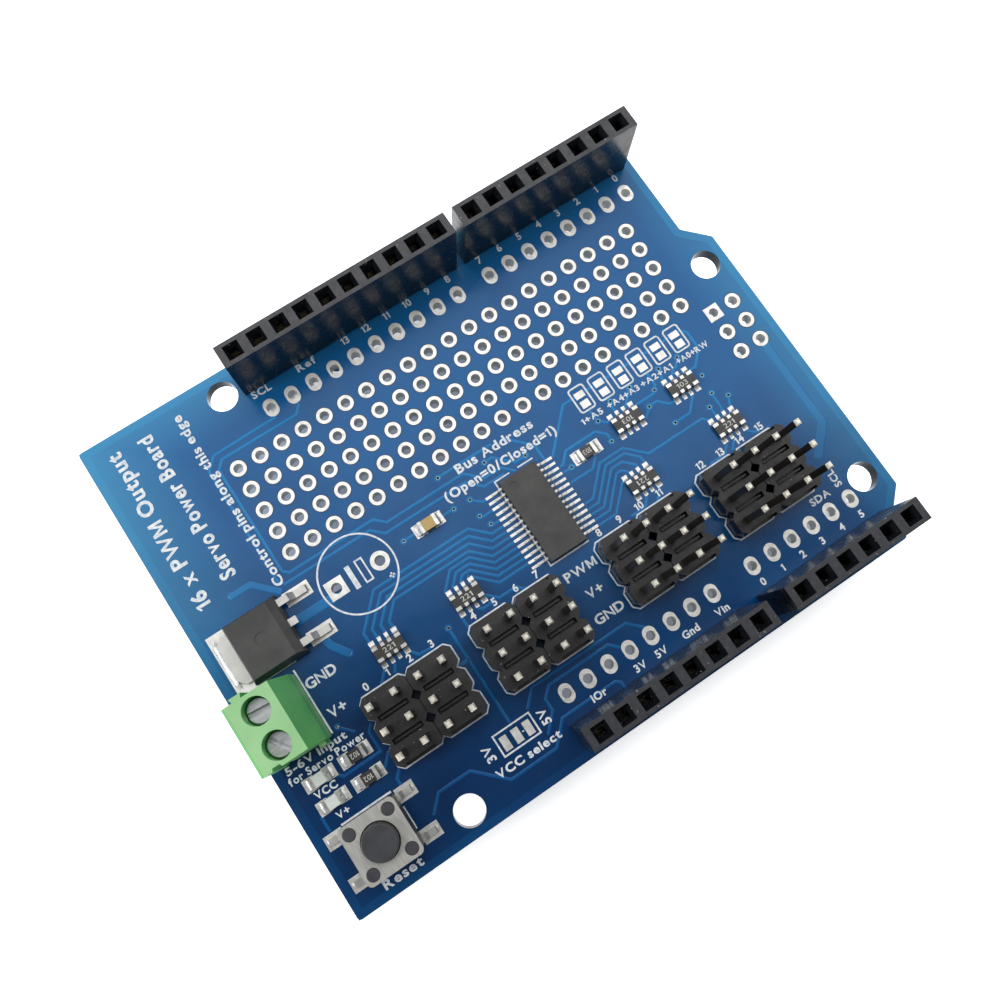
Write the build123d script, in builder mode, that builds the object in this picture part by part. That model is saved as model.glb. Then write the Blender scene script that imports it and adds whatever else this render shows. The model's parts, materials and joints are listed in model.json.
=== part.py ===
from build123d import *
import os

# Servo driver board in the common 68.6 x 53.3 mm stacking board format.
# Millimetres, +Z up. The origin is under the middle of the board, on the plane that the
# tips of the long header pins stand on. Places on the board are given from its lower left
# corner, x along the long side and y along the short side, and at() turns them into the
# part's own frame. Heights above the board are added to BOARD_TOP.

os.makedirs("parts", exist_ok=True)

# ---------------------------------------------------------------- driving dimensions
PITCH = 2.54
BOARD_LENGTH = 27 * PITCH
BOARD_WIDTH = 21 * PITCH
BOARD_THICKNESS = 1.6
BOARD_CORNER = 0.4
TAIL_REACH = 8.9                # long header pins, below the board's underside
BOARD_BOTTOM = TAIL_REACH
BOARD_TOP = BOARD_BOTTOM + BOARD_THICKNESS

MOUNTING_HOLE_RADIUS = 1.6
PAD_THICKNESS = 0.035           # copper and tin standing on the board's faces
PLATING = 0.05                  # wall of a plated barrel
PIN = 0.64                      # square pin, across the flats
PIN_HOLE_RADIUS = 0.5
SIDE_HOLE_RADIUS = 0.5
CAPACITOR_HOLE_RADIUS = 0.55
TERMINAL_HOLE_RADIUS = 0.65
VIA_HOLE_RADIUS = 0.15

PAD_RADIUS = 0.85
SERVO_PAD_RADIUS = 0.8
CAPACITOR_PAD_RADIUS = 1.0
TERMINAL_PAD_RADIUS = 1.1
SIDE_PAD_WIDTH = 1.45
SIDE_PAD_LENGTH = 2.0


def at(x, y):
    """A place on the board, from its lower left corner, in the part's frame."""
    return (x - BOARD_LENGTH / 2, y - BOARD_WIDTH / 2)


def row(x, y, count):
    """A row of places one pitch apart along the board's long side."""
    return [at(x + PITCH * index, y) for index in range(count)]


# ---------------------------------------------------------------- places on the board
OUTLINE = [
    (0, 0),
    (66.04, 0),
    (66.04, 2.54),
    (68.58, 5.08),
    (68.58, 37.846),
    (66.04, 40.386),
    (66.04, 51.816),
    (64.516, 53.34),
    (0, 53.34),
]
MOUNTING_HOLES = [at(13.97, 2.54), at(15.24, 50.8), at(66.04, 7.62), at(66.04, 35.56)]

# name, first socket's x, row's y, sockets
STACKING_HEADERS = [
    ("digital_header_high", 18.796, 50.8, 10),
    ("digital_header_low", 18 * PITCH, 50.8, 8),
    ("power_header", 11 * PITCH, 2.54, 8),
    ("analog_header", 20 * PITCH, 2.54, 6),
]
HEADER_POINTS = [point for _, x, y, count in STACKING_HEADERS for point in row(x, y, count)]

SIDE_ROWS = [(18.796, 47.09, 10), (18 * PITCH, 47.09, 8), (11 * PITCH, 6.49, 8), (20 * PITCH, 6.49, 6)]
SIDE_POINTS = [point for x, y, count in SIDE_ROWS for point in row(x, y, count)]

PROTO_COLUMNS = 20
PROTO_ROWS = 5
PROTO_FIRST = (12.73, 43.38)
PROTO_POINTS = [
    point
    for line in range(PROTO_ROWS)
    for point in row(PROTO_FIRST[0], PROTO_FIRST[1] - PITCH * line, PROTO_COLUMNS)
]

ICSP_FIRST = (63.5, 30.65)
ICSP_POINTS = [point for line in range(3) for point in row(ICSP_FIRST[0], ICSP_FIRST[1] - PITCH * line, 2)]

CAPACITOR_SQUARE_PAD = at(14.6, 27.6)
CAPACITOR_ROUND_PAD = at(19.66, 27.6)

# Servo outputs: four blocks of four channels. Each block is two headers of 2 x 3 pins.
SERVO_BLOCKS_X = [11.9, 24.45, 39.64, 52.35]
SERVO_ROW_Y = 4.2 * PITCH
SERVO_ROWS = 3
SERVO_POINTS = [
    point
    for x in SERVO_BLOCKS_X
    for line in range(SERVO_ROWS)
    for point in row(x, SERVO_ROW_Y + PITCH * line, 4)
]

TERMINAL_PITCH = 3.5
TERMINAL_CENTRE_Y = 19.2
TERMINAL_SCREW_X = 3.5
TERMINAL_PIN_X = 5.15
TERMINAL_POLES_Y = [TERMINAL_CENTRE_Y + TERMINAL_PITCH / 2, TERMINAL_CENTRE_Y - TERMINAL_PITCH / 2]
TERMINAL_POINTS = [at(TERMINAL_PIN_X, y) for y in TERMINAL_POLES_Y]

VIA_POINTS = [
    at(5.5, 32.65), at(12.35, 21.5), at(29.1, 31.54), at(30.6, 27.85), at(30.5, 25.9), at(31.0, 24.6),
    at(37.9, 28.6), at(41.2, 25.0), at(46.3, 27.54), at(46.25, 25.0), at(48.6, 28.6), at(51.16, 28.75),
    at(54.9, 28.75), at(57.3, 28.7), at(53.2, 27.1), at(51.7, 25.9), at(58.35, 25.65), at(58.08, 23.5),
    at(59.44, 22.4), at(22.7, 27.95), at(28.7, 27.95), at(33.95, 30.3), at(21.7, 18.2), at(53.0, 23.0),
    at(57.0, 22.4), at(7.6, 16.15),
]

CHIP_CENTRE = at(36.0, 22.75)
TRANSISTOR_Y = 27.0
SWITCH_CENTRE = at(5.95, 5.19)

NETWORK_POINTS = [
    at(15.85, 19.8), at(24.92, 19.8), at(46.43, 19.8), at(57.48, 19.8), at(48.85, 25.95), at(55.85, 25.95),
]
CHIP_RESISTOR_POINTS = [at(7.65, 13.0), at(7.65, 10.5), at(43.4, 25.45)]
LED_POINTS = [at(3.7, 13.0), at(3.7, 10.5)]
BYPASS_CAPACITOR_POINT = at(25.68, 28.0)
CHIP_PART_POINTS = CHIP_RESISTOR_POINTS + LED_POINTS + [BYPASS_CAPACITOR_POINT]

ADDRESS_JUMPER_PITCH = 2.434
ADDRESS_JUMPERS = [(46.25 + ADDRESS_JUMPER_PITCH * index, 30.4) for index in range(6)]
SUPPLY_JUMPER_PADS_X = [20.33, 21.67, 22.98]
SUPPLY_JUMPER_Y = 5.85


# ---------------------------------------------------------------- circuit board
with BuildPart() as circuit_board:
    with BuildSketch(Plane.XY.offset(BOARD_BOTTOM)) as board_face:
        with BuildLine():
            Polyline(*[at(x, y) for x, y in OUTLINE], close=True)
        make_face()
        fillet(board_face.vertices(), radius=BOARD_CORNER)
        with Locations(*MOUNTING_HOLES):
            Circle(MOUNTING_HOLE_RADIUS, mode=Mode.SUBTRACT)
        with Locations(*HEADER_POINTS, *PROTO_POINTS, *ICSP_POINTS, *SERVO_POINTS):
            Circle(PIN_HOLE_RADIUS + PLATING, mode=Mode.SUBTRACT)
        with Locations(*SIDE_POINTS):
            Circle(SIDE_HOLE_RADIUS + PLATING, mode=Mode.SUBTRACT)
        with Locations(CAPACITOR_SQUARE_PAD, CAPACITOR_ROUND_PAD):
            Circle(CAPACITOR_HOLE_RADIUS + PLATING, mode=Mode.SUBTRACT)
        with Locations(*TERMINAL_POINTS):
            Circle(TERMINAL_HOLE_RADIUS + PLATING, mode=Mode.SUBTRACT)
        with Locations(*VIA_POINTS):
            Circle(VIA_HOLE_RADIUS + PLATING, mode=Mode.SUBTRACT)
    extrude(amount=BOARD_THICKNESS)
circuit_board.part.label = "circuit_board"
export_step(circuit_board.part, "parts/circuit_board.step")


# ---------------------------------------------------------------- plated holes and pads
PAD_LEVELS = [BOARD_BOTTOM - PAD_THICKNESS, BOARD_TOP]


def plated_holes(label, points, hole_radius, pad_radius, oval_length=0, square_points=()):
    """Plated barrels through the board, each with a pad on both faces of the board."""
    round_points = [point for point in points if point not in square_points]
    with BuildPart() as plating:
        with BuildSketch(Plane.XY.offset(BOARD_BOTTOM)):
            with Locations(*points):
                Circle(hole_radius + PLATING)
            with Locations(*points):
                Circle(hole_radius, mode=Mode.SUBTRACT)
        extrude(amount=BOARD_THICKNESS)
        for level in PAD_LEVELS:
            with BuildSketch(Plane.XY.offset(level)):
                with Locations(*round_points):
                    if oval_length:
                        SlotOverall(oval_length, 2 * pad_radius, rotation=90)
                    else:
                        Circle(pad_radius)
                if square_points:
                    with Locations(*square_points):
                        Rectangle(2 * pad_radius, 2 * pad_radius)
                with Locations(*points):
                    Circle(hole_radius, mode=Mode.SUBTRACT)
            extrude(amount=PAD_THICKNESS)
    plating.part.label = label
    export_step(plating.part, f"parts/{label}.step")


plated_holes("header_pads", HEADER_POINTS, PIN_HOLE_RADIUS, PAD_RADIUS)
plated_holes("side_pads", SIDE_POINTS, SIDE_HOLE_RADIUS, SIDE_PAD_WIDTH / 2, oval_length=SIDE_PAD_LENGTH)
plated_holes("prototyping_pads", PROTO_POINTS, PIN_HOLE_RADIUS, PAD_RADIUS)
plated_holes("icsp_pads", ICSP_POINTS, PIN_HOLE_RADIUS, PAD_RADIUS, square_points=ICSP_POINTS[:1])
plated_holes("servo_header_pads", SERVO_POINTS, PIN_HOLE_RADIUS, SERVO_PAD_RADIUS)
plated_holes(
    "capacitor_pads",
    [CAPACITOR_SQUARE_PAD, CAPACITOR_ROUND_PAD],
    CAPACITOR_HOLE_RADIUS,
    CAPACITOR_PAD_RADIUS,
    square_points=[CAPACITOR_SQUARE_PAD],
)
plated_holes("terminal_pads", TERMINAL_POINTS, TERMINAL_HOLE_RADIUS, TERMINAL_PAD_RADIUS)

# Vias: bare barrels, flush with both faces.
with BuildPart() as via_barrels:
    with BuildSketch(Plane.XY.offset(BOARD_BOTTOM)):
        with Locations(*VIA_POINTS):
            Circle(VIA_HOLE_RADIUS + PLATING)
        with Locations(*VIA_POINTS):
            Circle(VIA_HOLE_RADIUS, mode=Mode.SUBTRACT)
    extrude(amount=BOARD_THICKNESS)
via_barrels.part.label = "via_barrels"
export_step(via_barrels.part, "parts/via_barrels.step")

# ---------------------------------------------------------------- surface pads
LEAD_PITCH = 0.65                # driver chip
LEADS_PER_SIDE = 14
LEAD_WIDTH = 0.22
LEAD_ROW = [LEAD_PITCH * (index - (LEADS_PER_SIDE - 1) / 2) for index in range(LEADS_PER_SIDE)]
CHIP_PAD = (1.9, 0.29)
CHIP_PAD_OFFSET = 3.1

TRANSISTOR_LEAD_SPREAD = 2.286
TRANSISTOR_TAB_PAD_X = (1.25, 7.6)
TRANSISTOR_TAB_PAD_WIDTH = 6.66
TRANSISTOR_LEAD_PAD = (2.85, 1.5)
TRANSISTOR_LEAD_PAD_X = 11.12

SWITCH_LEAD_SPREAD = 2.25
SWITCH_PAD = (2.0, 1.48)
SWITCH_PAD_OFFSET = 3.93

CHIP_PART_PAD = (1.25, 1.4)
CHIP_PART_PAD_OFFSET = 1.07

NETWORK_INNER = 0.4              # inner and outer terminals of a four-resistor network
NETWORK_OUTER = 1.3
NETWORK_PAD_LENGTH = 0.95
NETWORK_PAD_OFFSET = 1.02
NETWORK_TERMINALS = [(-NETWORK_OUTER, 0.6), (-NETWORK_INNER, 0.4), (NETWORK_INNER, 0.4), (NETWORK_OUTER, 0.6)]


def shifted(point, dx, dy):
    return (point[0] + dx, point[1] + dy)


with BuildPart() as surface_pads:
    with BuildSketch(Plane.XY.offset(BOARD_TOP)):
        for side in (-1, 1):
            with Locations(*[shifted(CHIP_CENTRE, side * CHIP_PAD_OFFSET, dy) for dy in LEAD_ROW]):
                Rectangle(*CHIP_PAD)
            with Locations(at(TRANSISTOR_LEAD_PAD_X, TRANSISTOR_Y + side * TRANSISTOR_LEAD_SPREAD)):
                Rectangle(*TRANSISTOR_LEAD_PAD)
            with Locations(
                shifted(SWITCH_CENTRE, side * SWITCH_PAD_OFFSET, SWITCH_LEAD_SPREAD),
                shifted(SWITCH_CENTRE, side * SWITCH_PAD_OFFSET, -SWITCH_LEAD_SPREAD),
            ):
                Rectangle(*SWITCH_PAD)
            with Locations(*[shifted(point, side * CHIP_PART_PAD_OFFSET, 0) for point in CHIP_PART_POINTS]):
                Rectangle(*CHIP_PART_PAD)
            for dx, width in NETWORK_TERMINALS:
                with Locations(*[shifted(point, dx, side * NETWORK_PAD_OFFSET) for point in NETWORK_POINTS]):
                    Rectangle(width, NETWORK_PAD_LENGTH)
        with Locations(at(sum(TRANSISTOR_TAB_PAD_X) / 2, TRANSISTOR_Y)):
            Rectangle(TRANSISTOR_TAB_PAD_X[1] - TRANSISTOR_TAB_PAD_X[0], TRANSISTOR_TAB_PAD_WIDTH)
    extrude(amount=PAD_THICKNESS)
surface_pads.part.label = "surface_pads"
export_step(surface_pads.part, "parts/surface_pads.step")

# Solder jumpers: six pairs that set the address, and three pads that choose the supply.
with BuildPart() as jumper_pads:
    with BuildSketch(Plane.XY.offset(BOARD_TOP)):
        with Locations(*[at(x, y + 0.52) for x, y in ADDRESS_JUMPERS]):
            Rectangle(1.1, 0.72)
        with Locations(*[at(x, y - 0.6) for x, y in ADDRESS_JUMPERS]):
            Rectangle(0.98, 0.82)
        with Locations(*[at(x, SUPPLY_JUMPER_Y) for x in SUPPLY_JUMPER_PADS_X]):
            Rectangle(0.8, 1.5)
    extrude(amount=PAD_THICKNESS)
jumper_pads.part.label = "jumper_pads"
export_step(jumper_pads.part, "parts/jumper_pads.step")


# ---------------------------------------------------------------- stacking headers
HEADER_HEIGHT = 8.5
HEADER_WIDTH = 2.45
HEADER_END = 0.25                # plastic beyond the last full pitch at each end
HEADER_STANDOFF = 0.3
SOCKET_MOUTH = 1.6               # square lead-in at the top face
SOCKET_THROAT = 0.9
SOCKET_LEAD_IN = 0.75
SOCKET_TAPER = 25
CHAMBER_TOP = 7.4
CHAMBER = (1.5, 1.7)             # space for one contact, along and across the row
CONTACT_BASE_HEIGHT = 0.8
CONTACT_WIDTH = 1.0


def stacking_header(label, x, y, count):
    """Black housing of one row of through-board sockets."""
    points = row(x, y, count)
    length = count * PITCH + 2 * HEADER_END
    middle = at(x + PITCH * (count - 1) / 2, y)
    with BuildPart() as housing:
        with BuildSketch(Plane.XY.offset(BOARD_TOP)):
            with Locations(middle):
                Rectangle(length, HEADER_WIDTH)
        extrude(amount=HEADER_HEIGHT)
        with BuildSketch(Plane.XY.offset(BOARD_TOP)):
            with Locations(middle):
                Rectangle((count - 1) * PITCH + 2 * PAD_RADIUS + 0.2, HEADER_WIDTH)
        extrude(amount=HEADER_STANDOFF, mode=Mode.SUBTRACT)
        with BuildSketch(Plane.XY.offset(BOARD_TOP)):
            with Locations(*points):
                Rectangle(*CHAMBER)
        extrude(amount=CHAMBER_TOP, mode=Mode.SUBTRACT)
        with BuildSketch(Plane.XY.offset(BOARD_TOP + HEADER_HEIGHT)):
            with Locations(*points):
                Rectangle(SOCKET_THROAT, SOCKET_THROAT)
        extrude(amount=CHAMBER_TOP - HEADER_HEIGHT, mode=Mode.SUBTRACT)
        with BuildSketch(Plane.XY.offset(BOARD_TOP + HEADER_HEIGHT)):
            with Locations(*points):
                Rectangle(SOCKET_MOUTH, SOCKET_MOUTH)
        extrude(amount=-SOCKET_LEAD_IN, taper=SOCKET_TAPER, mode=Mode.SUBTRACT)
    housing.part.label = label
    export_step(housing.part, f"parts/{label}.step")


# One contact: a fork of two spring leaves on a base, with the long square pin below it.
with BuildPart() as header_contact:
    with BuildSketch(Plane.XY):
        Rectangle(PIN, PIN)
    extrude(amount=BOARD_TOP + HEADER_STANDOFF + CONTACT_BASE_HEIGHT)
    chamfer(header_contact.faces().sort_by(Axis.Z)[0].edges(), length=0.18, length2=0.3)
    with BuildSketch(Plane.XY.offset(BOARD_TOP + HEADER_STANDOFF)):
        Rectangle(*CHAMBER)
    extrude(amount=CONTACT_BASE_HEIGHT)
    leaf_foot = BOARD_TOP + HEADER_STANDOFF + CONTACT_BASE_HEIGHT
    with BuildSketch(Plane.YZ):
        with BuildLine():
            Polyline(
                (0.5, leaf_foot),
                (0.78, leaf_foot),
                (0.52, leaf_foot + 4.0),
                (0.78, leaf_foot + 5.2),
                (0.6, leaf_foot + 5.2),
                (0.3, leaf_foot + 4.0),
                close=True,
            )
        make_face()
        mirror(about=Plane.YZ)
    extrude(amount=CONTACT_WIDTH / 2, both=True)


def header_contacts(label, x, y, count):
    """The contacts of one row, each a separate piece of metal."""
    with BuildPart() as contacts:
        with Locations(*row(x, y, count)):
            add(header_contact.part)
    contacts.part.label = label
    export_step(contacts.part, f"parts/{label}.step")


for name, first_x, row_y, sockets in STACKING_HEADERS:
    stacking_header(name, first_x, row_y, sockets)
    header_contacts(f"{name}_contacts", first_x, row_y, sockets)


# ---------------------------------------------------------------- servo headers
SERVO_HEADER_WIDTH = 2 * PITCH - 0.06
SERVO_HEADER_HEIGHT = 2.54
SERVO_STANDOFF = 0.3
SERVO_CORNER = 0.55              # cut corner of each 2-pin cell
SERVO_SLOT = (3.3, 0.6)
SERVO_SLOT_DEPTH = 1.1
SERVO_RIB = (2.9, 0.18)
SERVO_RIB_DROP = 0.3
SERVO_FOOT_RADIUS = 0.45
SERVO_PIN_TOP = 8.6
SERVO_PIN_TAIL = 3.0             # below the board's top face


half_width = SERVO_HEADER_WIDTH / 2
SERVO_CELL = [
    (half_width, PITCH / 2 - SERVO_CORNER),
    (half_width - SERVO_CORNER, PITCH / 2),
    (SERVO_CORNER - half_width, PITCH / 2),
    (-half_width, PITCH / 2 - SERVO_CORNER),
    (-half_width, SERVO_CORNER - PITCH / 2),
    (SERVO_CORNER - half_width, -PITCH / 2),
    (half_width - SERVO_CORNER, -PITCH / 2),
    (half_width, SERVO_CORNER - PITCH / 2),
]


def servo_pin_points(x, columns):
    return [point for line in range(SERVO_ROWS) for point in row(x, SERVO_ROW_Y + PITCH * line, columns)]


def servo_header(label, x):
    """Black housing of one 2 x 3 pin header, broken from a longer double-row strip."""
    middle_x = x + PITCH / 2
    cells = [at(middle_x, SERVO_ROW_Y + PITCH * line) for line in range(SERVO_ROWS)]
    slots = [at(middle_x, SERVO_ROW_Y + PITCH * (line + 0.5)) for line in range(-1, SERVO_ROWS)]
    top = BOARD_TOP + SERVO_HEADER_HEIGHT
    with BuildPart() as housing:
        with BuildSketch(Plane.XY.offset(BOARD_TOP + SERVO_STANDOFF)):
            with Locations(*cells):
                Polygon(*SERVO_CELL)
            with Locations(*servo_pin_points(x, 2)):
                Rectangle(PIN, PIN, mode=Mode.SUBTRACT)
        extrude(amount=SERVO_HEADER_HEIGHT - SERVO_STANDOFF)
        with BuildSketch(Plane.XY.offset(top)):
            with Locations(*slots):
                Rectangle(*SERVO_SLOT)
        extrude(amount=-SERVO_SLOT_DEPTH, mode=Mode.SUBTRACT)
        with BuildSketch(Plane.XY.offset(top - SERVO_RIB_DROP)):
            with Locations(*slots[1:-1]):
                Rectangle(*SERVO_RIB)
        extrude(amount=SERVO_RIB_DROP - SERVO_SLOT_DEPTH)
        with BuildSketch(Plane.XY.offset(BOARD_TOP)):
            with Locations(*slots[1:-1]):
                Circle(SERVO_FOOT_RADIUS)
        extrude(amount=SERVO_STANDOFF)
    housing.part.label = label
    export_step(housing.part, f"parts/{label}.step")


def servo_pins(label, x):
    """The twelve square pins of one block of four channels, tapered at both ends."""
    with BuildPart() as pins:
        with BuildSketch(Plane.XY.offset(BOARD_TOP - SERVO_PIN_TAIL)):
            with Locations(*servo_pin_points(x, 4)):
                Rectangle(PIN, PIN)
        extrude(amount=SERVO_PIN_TAIL + SERVO_PIN_TOP)
        chamfer(pins.faces().group_by(Axis.Z)[-1].edges(), length=0.25, length2=0.15)
        chamfer(pins.faces().group_by(Axis.Z)[0].edges(), length=0.12)
    pins.part.label = label
    export_step(pins.part, f"parts/{label}.step")


for block, block_x in enumerate(SERVO_BLOCKS_X):
    servo_header(f"servo_header_{2 * block + 1}", block_x)
    servo_header(f"servo_header_{2 * block + 2}", block_x + 2 * PITCH)
    servo_pins(f"servo_pins_{4 * block}_to_{4 * block + 3}", block_x)


# ---------------------------------------------------------------- driver chip
CHIP_BODY = (4.4, 9.7)
CHIP_STANDOFF = 0.12
CHIP_HEIGHT = 1.12               # top of the moulding above the board
CHIP_PARTING = 0.62
CHIP_DRAFT = 9
CHIP_DIMPLE = (-1.05, 3.75)
LEAD_THICKNESS = 0.13
LEAD_TOE = 3.2                   # toe of a lead from the chip's middle
LEAD_HEEL = 2.7
LEAD_SHOULDER = 2.42

foot = BOARD_TOP + PAD_THICKNESS
shoulder = BOARD_TOP + CHIP_PARTING + LEAD_THICKNESS / 2
with BuildPart() as driver_chip_leads:
    with BuildSketch(Plane.XZ.offset(-CHIP_CENTRE[1])):
        with BuildLine():
            Polyline(
                (CHIP_CENTRE[0] + CHIP_BODY[0] / 2 - 0.3, shoulder),
                (CHIP_CENTRE[0] + LEAD_SHOULDER + 0.08, shoulder),
                (CHIP_CENTRE[0] + LEAD_HEEL + 0.05, foot + LEAD_THICKNESS),
                (CHIP_CENTRE[0] + LEAD_TOE, foot + LEAD_THICKNESS),
                (CHIP_CENTRE[0] + LEAD_TOE, foot),
                (CHIP_CENTRE[0] + LEAD_HEEL - 0.05, foot),
                (CHIP_CENTRE[0] + LEAD_SHOULDER - 0.02, shoulder - LEAD_THICKNESS),
                (CHIP_CENTRE[0] + CHIP_BODY[0] / 2 - 0.3, shoulder - LEAD_THICKNESS),
                close=True,
            )
        make_face()
    extrude(amount=LEAD_WIDTH / 2, both=True)
one_lead = driver_chip_leads.part
with BuildPart() as driver_chip_leads:
    with Locations(*[(0, dy) for dy in LEAD_ROW]):
        add(one_lead)
    mirror(about=Plane.YZ.offset(CHIP_CENTRE[0]))
driver_chip_leads.part.label = "driver_chip_leads"
export_step(driver_chip_leads.part, "parts/driver_chip_leads.step")

with BuildPart() as driver_chip:
    with BuildSketch(Plane.XY.offset(BOARD_TOP + CHIP_PARTING)):
        with Locations(CHIP_CENTRE):
            Rectangle(*CHIP_BODY)
    extrude(amount=CHIP_HEIGHT - CHIP_PARTING, taper=CHIP_DRAFT)
    with BuildSketch(Plane.XY.offset(BOARD_TOP + CHIP_PARTING)):
        with Locations(CHIP_CENTRE):
            Rectangle(*CHIP_BODY)
    extrude(amount=CHIP_STANDOFF - CHIP_PARTING, taper=CHIP_DRAFT)
    with BuildSketch(Plane.XY.offset(BOARD_TOP + CHIP_HEIGHT)):
        with Locations(shifted(CHIP_CENTRE, *CHIP_DIMPLE)):
            Circle(0.42)
    extrude(amount=-0.06, mode=Mode.SUBTRACT)
    add(driver_chip_leads.part, mode=Mode.SUBTRACT)
driver_chip.part.label = "driver_chip"
export_step(driver_chip.part, "parts/driver_chip.step")


# ---------------------------------------------------------------- power transistor
TRANSISTOR_X = (3.3, 9.2)
TRANSISTOR_WIDTH = 6.5
TRANSISTOR_HEIGHT = 2.3
TRANSISTOR_SHOULDER = 0.95       # straight sides up to here, drafted above
TRANSISTOR_DRAFT = 14
TAB_X = (1.95, 8.2)
TAB_WIDTH = 5.3
TAB_THICKNESS = 0.5
TRANSISTOR_LEAD_WIDTH = 0.76
LEAD_LEVEL = 0.95                # underside of the leads where they leave the moulding
STUB_END_X = 9.95
LEAD_END_X = 12.1

tab_bottom = BOARD_TOP + PAD_THICKNESS
with BuildPart() as power_transistor_tab:
    with BuildSketch(Plane.XY.offset(tab_bottom)) as tab_plan:
        with Locations(at(sum(TAB_X) / 2, TRANSISTOR_Y)):
            Rectangle(TAB_X[1] - TAB_X[0], TAB_WIDTH)
        chamfer(tab_plan.vertices().group_by(Axis.X)[0], length=0.7)
    extrude(amount=TAB_THICKNESS)
    # The cut middle lead is one piece with the tab and rises inside the moulding.
    with BuildSketch(Plane.XZ.offset(-at(0, TRANSISTOR_Y)[1])):
        with BuildLine():
            Polyline(
                (at(7.3, 0)[0], tab_bottom + TAB_THICKNESS),
                (at(8.0, 0)[0], tab_bottom + TAB_THICKNESS),
                (at(8.4, 0)[0], BOARD_TOP + LEAD_LEVEL),
                (at(STUB_END_X, 0)[0], BOARD_TOP + LEAD_LEVEL),
                (at(STUB_END_X, 0)[0], BOARD_TOP + LEAD_LEVEL + TAB_THICKNESS),
                (at(8.1, 0)[0], BOARD_TOP + LEAD_LEVEL + TAB_THICKNESS),
                close=True,
            )
        make_face()
    extrude(amount=TRANSISTOR_LEAD_WIDTH / 2, both=True)
power_transistor_tab.part.label = "power_transistor_tab"
export_step(power_transistor_tab.part, "parts/power_transistor_tab.step")

lead_top = BOARD_TOP + LEAD_LEVEL + TAB_THICKNESS
with BuildPart() as power_transistor_leads:
    for side in (-1, 1):
        lead_y = at(0, TRANSISTOR_Y + side * TRANSISTOR_LEAD_SPREAD)[1]
        with BuildSketch(Plane.XZ.offset(-lead_y)):
            with BuildLine():
                Polyline(
                    (at(8.3, 0)[0], lead_top),
                    (at(10.25, 0)[0], lead_top),
                    (at(10.85, 0)[0], tab_bottom + TAB_THICKNESS),
                    (at(LEAD_END_X, 0)[0], tab_bottom + TAB_THICKNESS),
                    (at(LEAD_END_X, 0)[0], tab_bottom),
                    (at(10.5, 0)[0], tab_bottom),
                    (at(9.9, 0)[0], lead_top - TAB_THICKNESS),
                    (at(8.3, 0)[0], lead_top - TAB_THICKNESS),
                    close=True,
                )
            make_face()
        extrude(amount=TRANSISTOR_LEAD_WIDTH / 2, both=True)
power_transistor_leads.part.label = "power_transistor_leads"
export_step(power_transistor_leads.part, "parts/power_transistor_leads.step")

transistor_length = TRANSISTOR_X[1] - TRANSISTOR_X[0]
transistor_middle = at(sum(TRANSISTOR_X) / 2, TRANSISTOR_Y)
with BuildPart() as power_transistor:
    with BuildSketch(Plane.XY.offset(tab_bottom)):
        with Locations(transistor_middle):
            Rectangle(transistor_length, TRANSISTOR_WIDTH)
    extrude(amount=TRANSISTOR_SHOULDER - PAD_THICKNESS)
    with BuildSketch(Plane.XY.offset(BOARD_TOP + TRANSISTOR_SHOULDER)):
        with Locations(transistor_middle):
            Rectangle(transistor_length, TRANSISTOR_WIDTH)
    extrude(amount=TRANSISTOR_HEIGHT - TRANSISTOR_SHOULDER, taper=TRANSISTOR_DRAFT)
    lead_side_edge = power_transistor.faces().sort_by(Axis.Z)[-1].edges().sort_by(Axis.X)[-1]
    chamfer(lead_side_edge, length=0.62, length2=0.5)
    with BuildSketch(Plane.XY.offset(BOARD_TOP + TRANSISTOR_HEIGHT)):
        with Locations(transistor_middle):
            Circle(0.72)
    extrude(amount=-0.06, mode=Mode.SUBTRACT)
    add(power_transistor_tab.part, mode=Mode.SUBTRACT)
    add(power_transistor_leads.part, mode=Mode.SUBTRACT)
power_transistor.part.label = "power_transistor"
export_step(power_transistor.part, "parts/power_transistor.step")


# ---------------------------------------------------------------- screw terminal block
# Two poles. Each screw turns in place and lifts a steel cage, which squeezes the wire
# up against the tongue of a fixed contact.
TERMINAL_X = (0.9, 6.75)
TERMINAL_HEIGHT = 8.5
TERMINAL_WIDTH = 2 * TERMINAL_PITCH
SLOPE_TOP_X = 5.6                # sloping rear face, from the flat top down to a low wall
SLOPE_FOOT_Z = 3.6
WELL_RADIUS = 1.34
WELL_FLOOR = 5.85
SHAFT_HOLE_RADIUS = 1.12
CELL_X = (2.1, 5.5)
CELL_HALF_WIDTH = 1.3
CELL_ROOF = 5.4
ENTRY_Z = (1.3, 4.0)
ENTRY_WIDTH = 2.3
RIB_X = (1.9, 3.1)
RIB_DEPTH = 0.42
REAR_RIB_X = (5.75, 6.45)

SCREW_HEAD_RADIUS = 1.22
SCREW_HEAD_TOP = 7.04
SCREW_SHAFT_RADIUS = 0.8
SCREW_TIP = 3.0
SCREW_SLOT = (0.5, 0.6)          # width and depth
SCREW_SLOT_ANGLES = [-5, -58]

CAGE_X = (2.2, 4.75)
CAGE_HALF_WIDTH = 1.2
CAGE_Z = (0.65, 3.85)
CAGE_WINDOW_Z = (1.15, 2.95)
CAGE_WINDOW_WIDTH = 1.7
CAGE_THREAD_RADIUS = 0.84
TONGUE_X = (2.35, 5.35)
TONGUE_Z = (2.67, 2.93)
TONGUE_WIDTH = 1.5
CONTACT_LEG_X = (4.95, 5.35)
CONTACT_TAIL = 3.2               # below the board's top face
CONTACT_TAIL_WIDTH = 0.9


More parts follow.
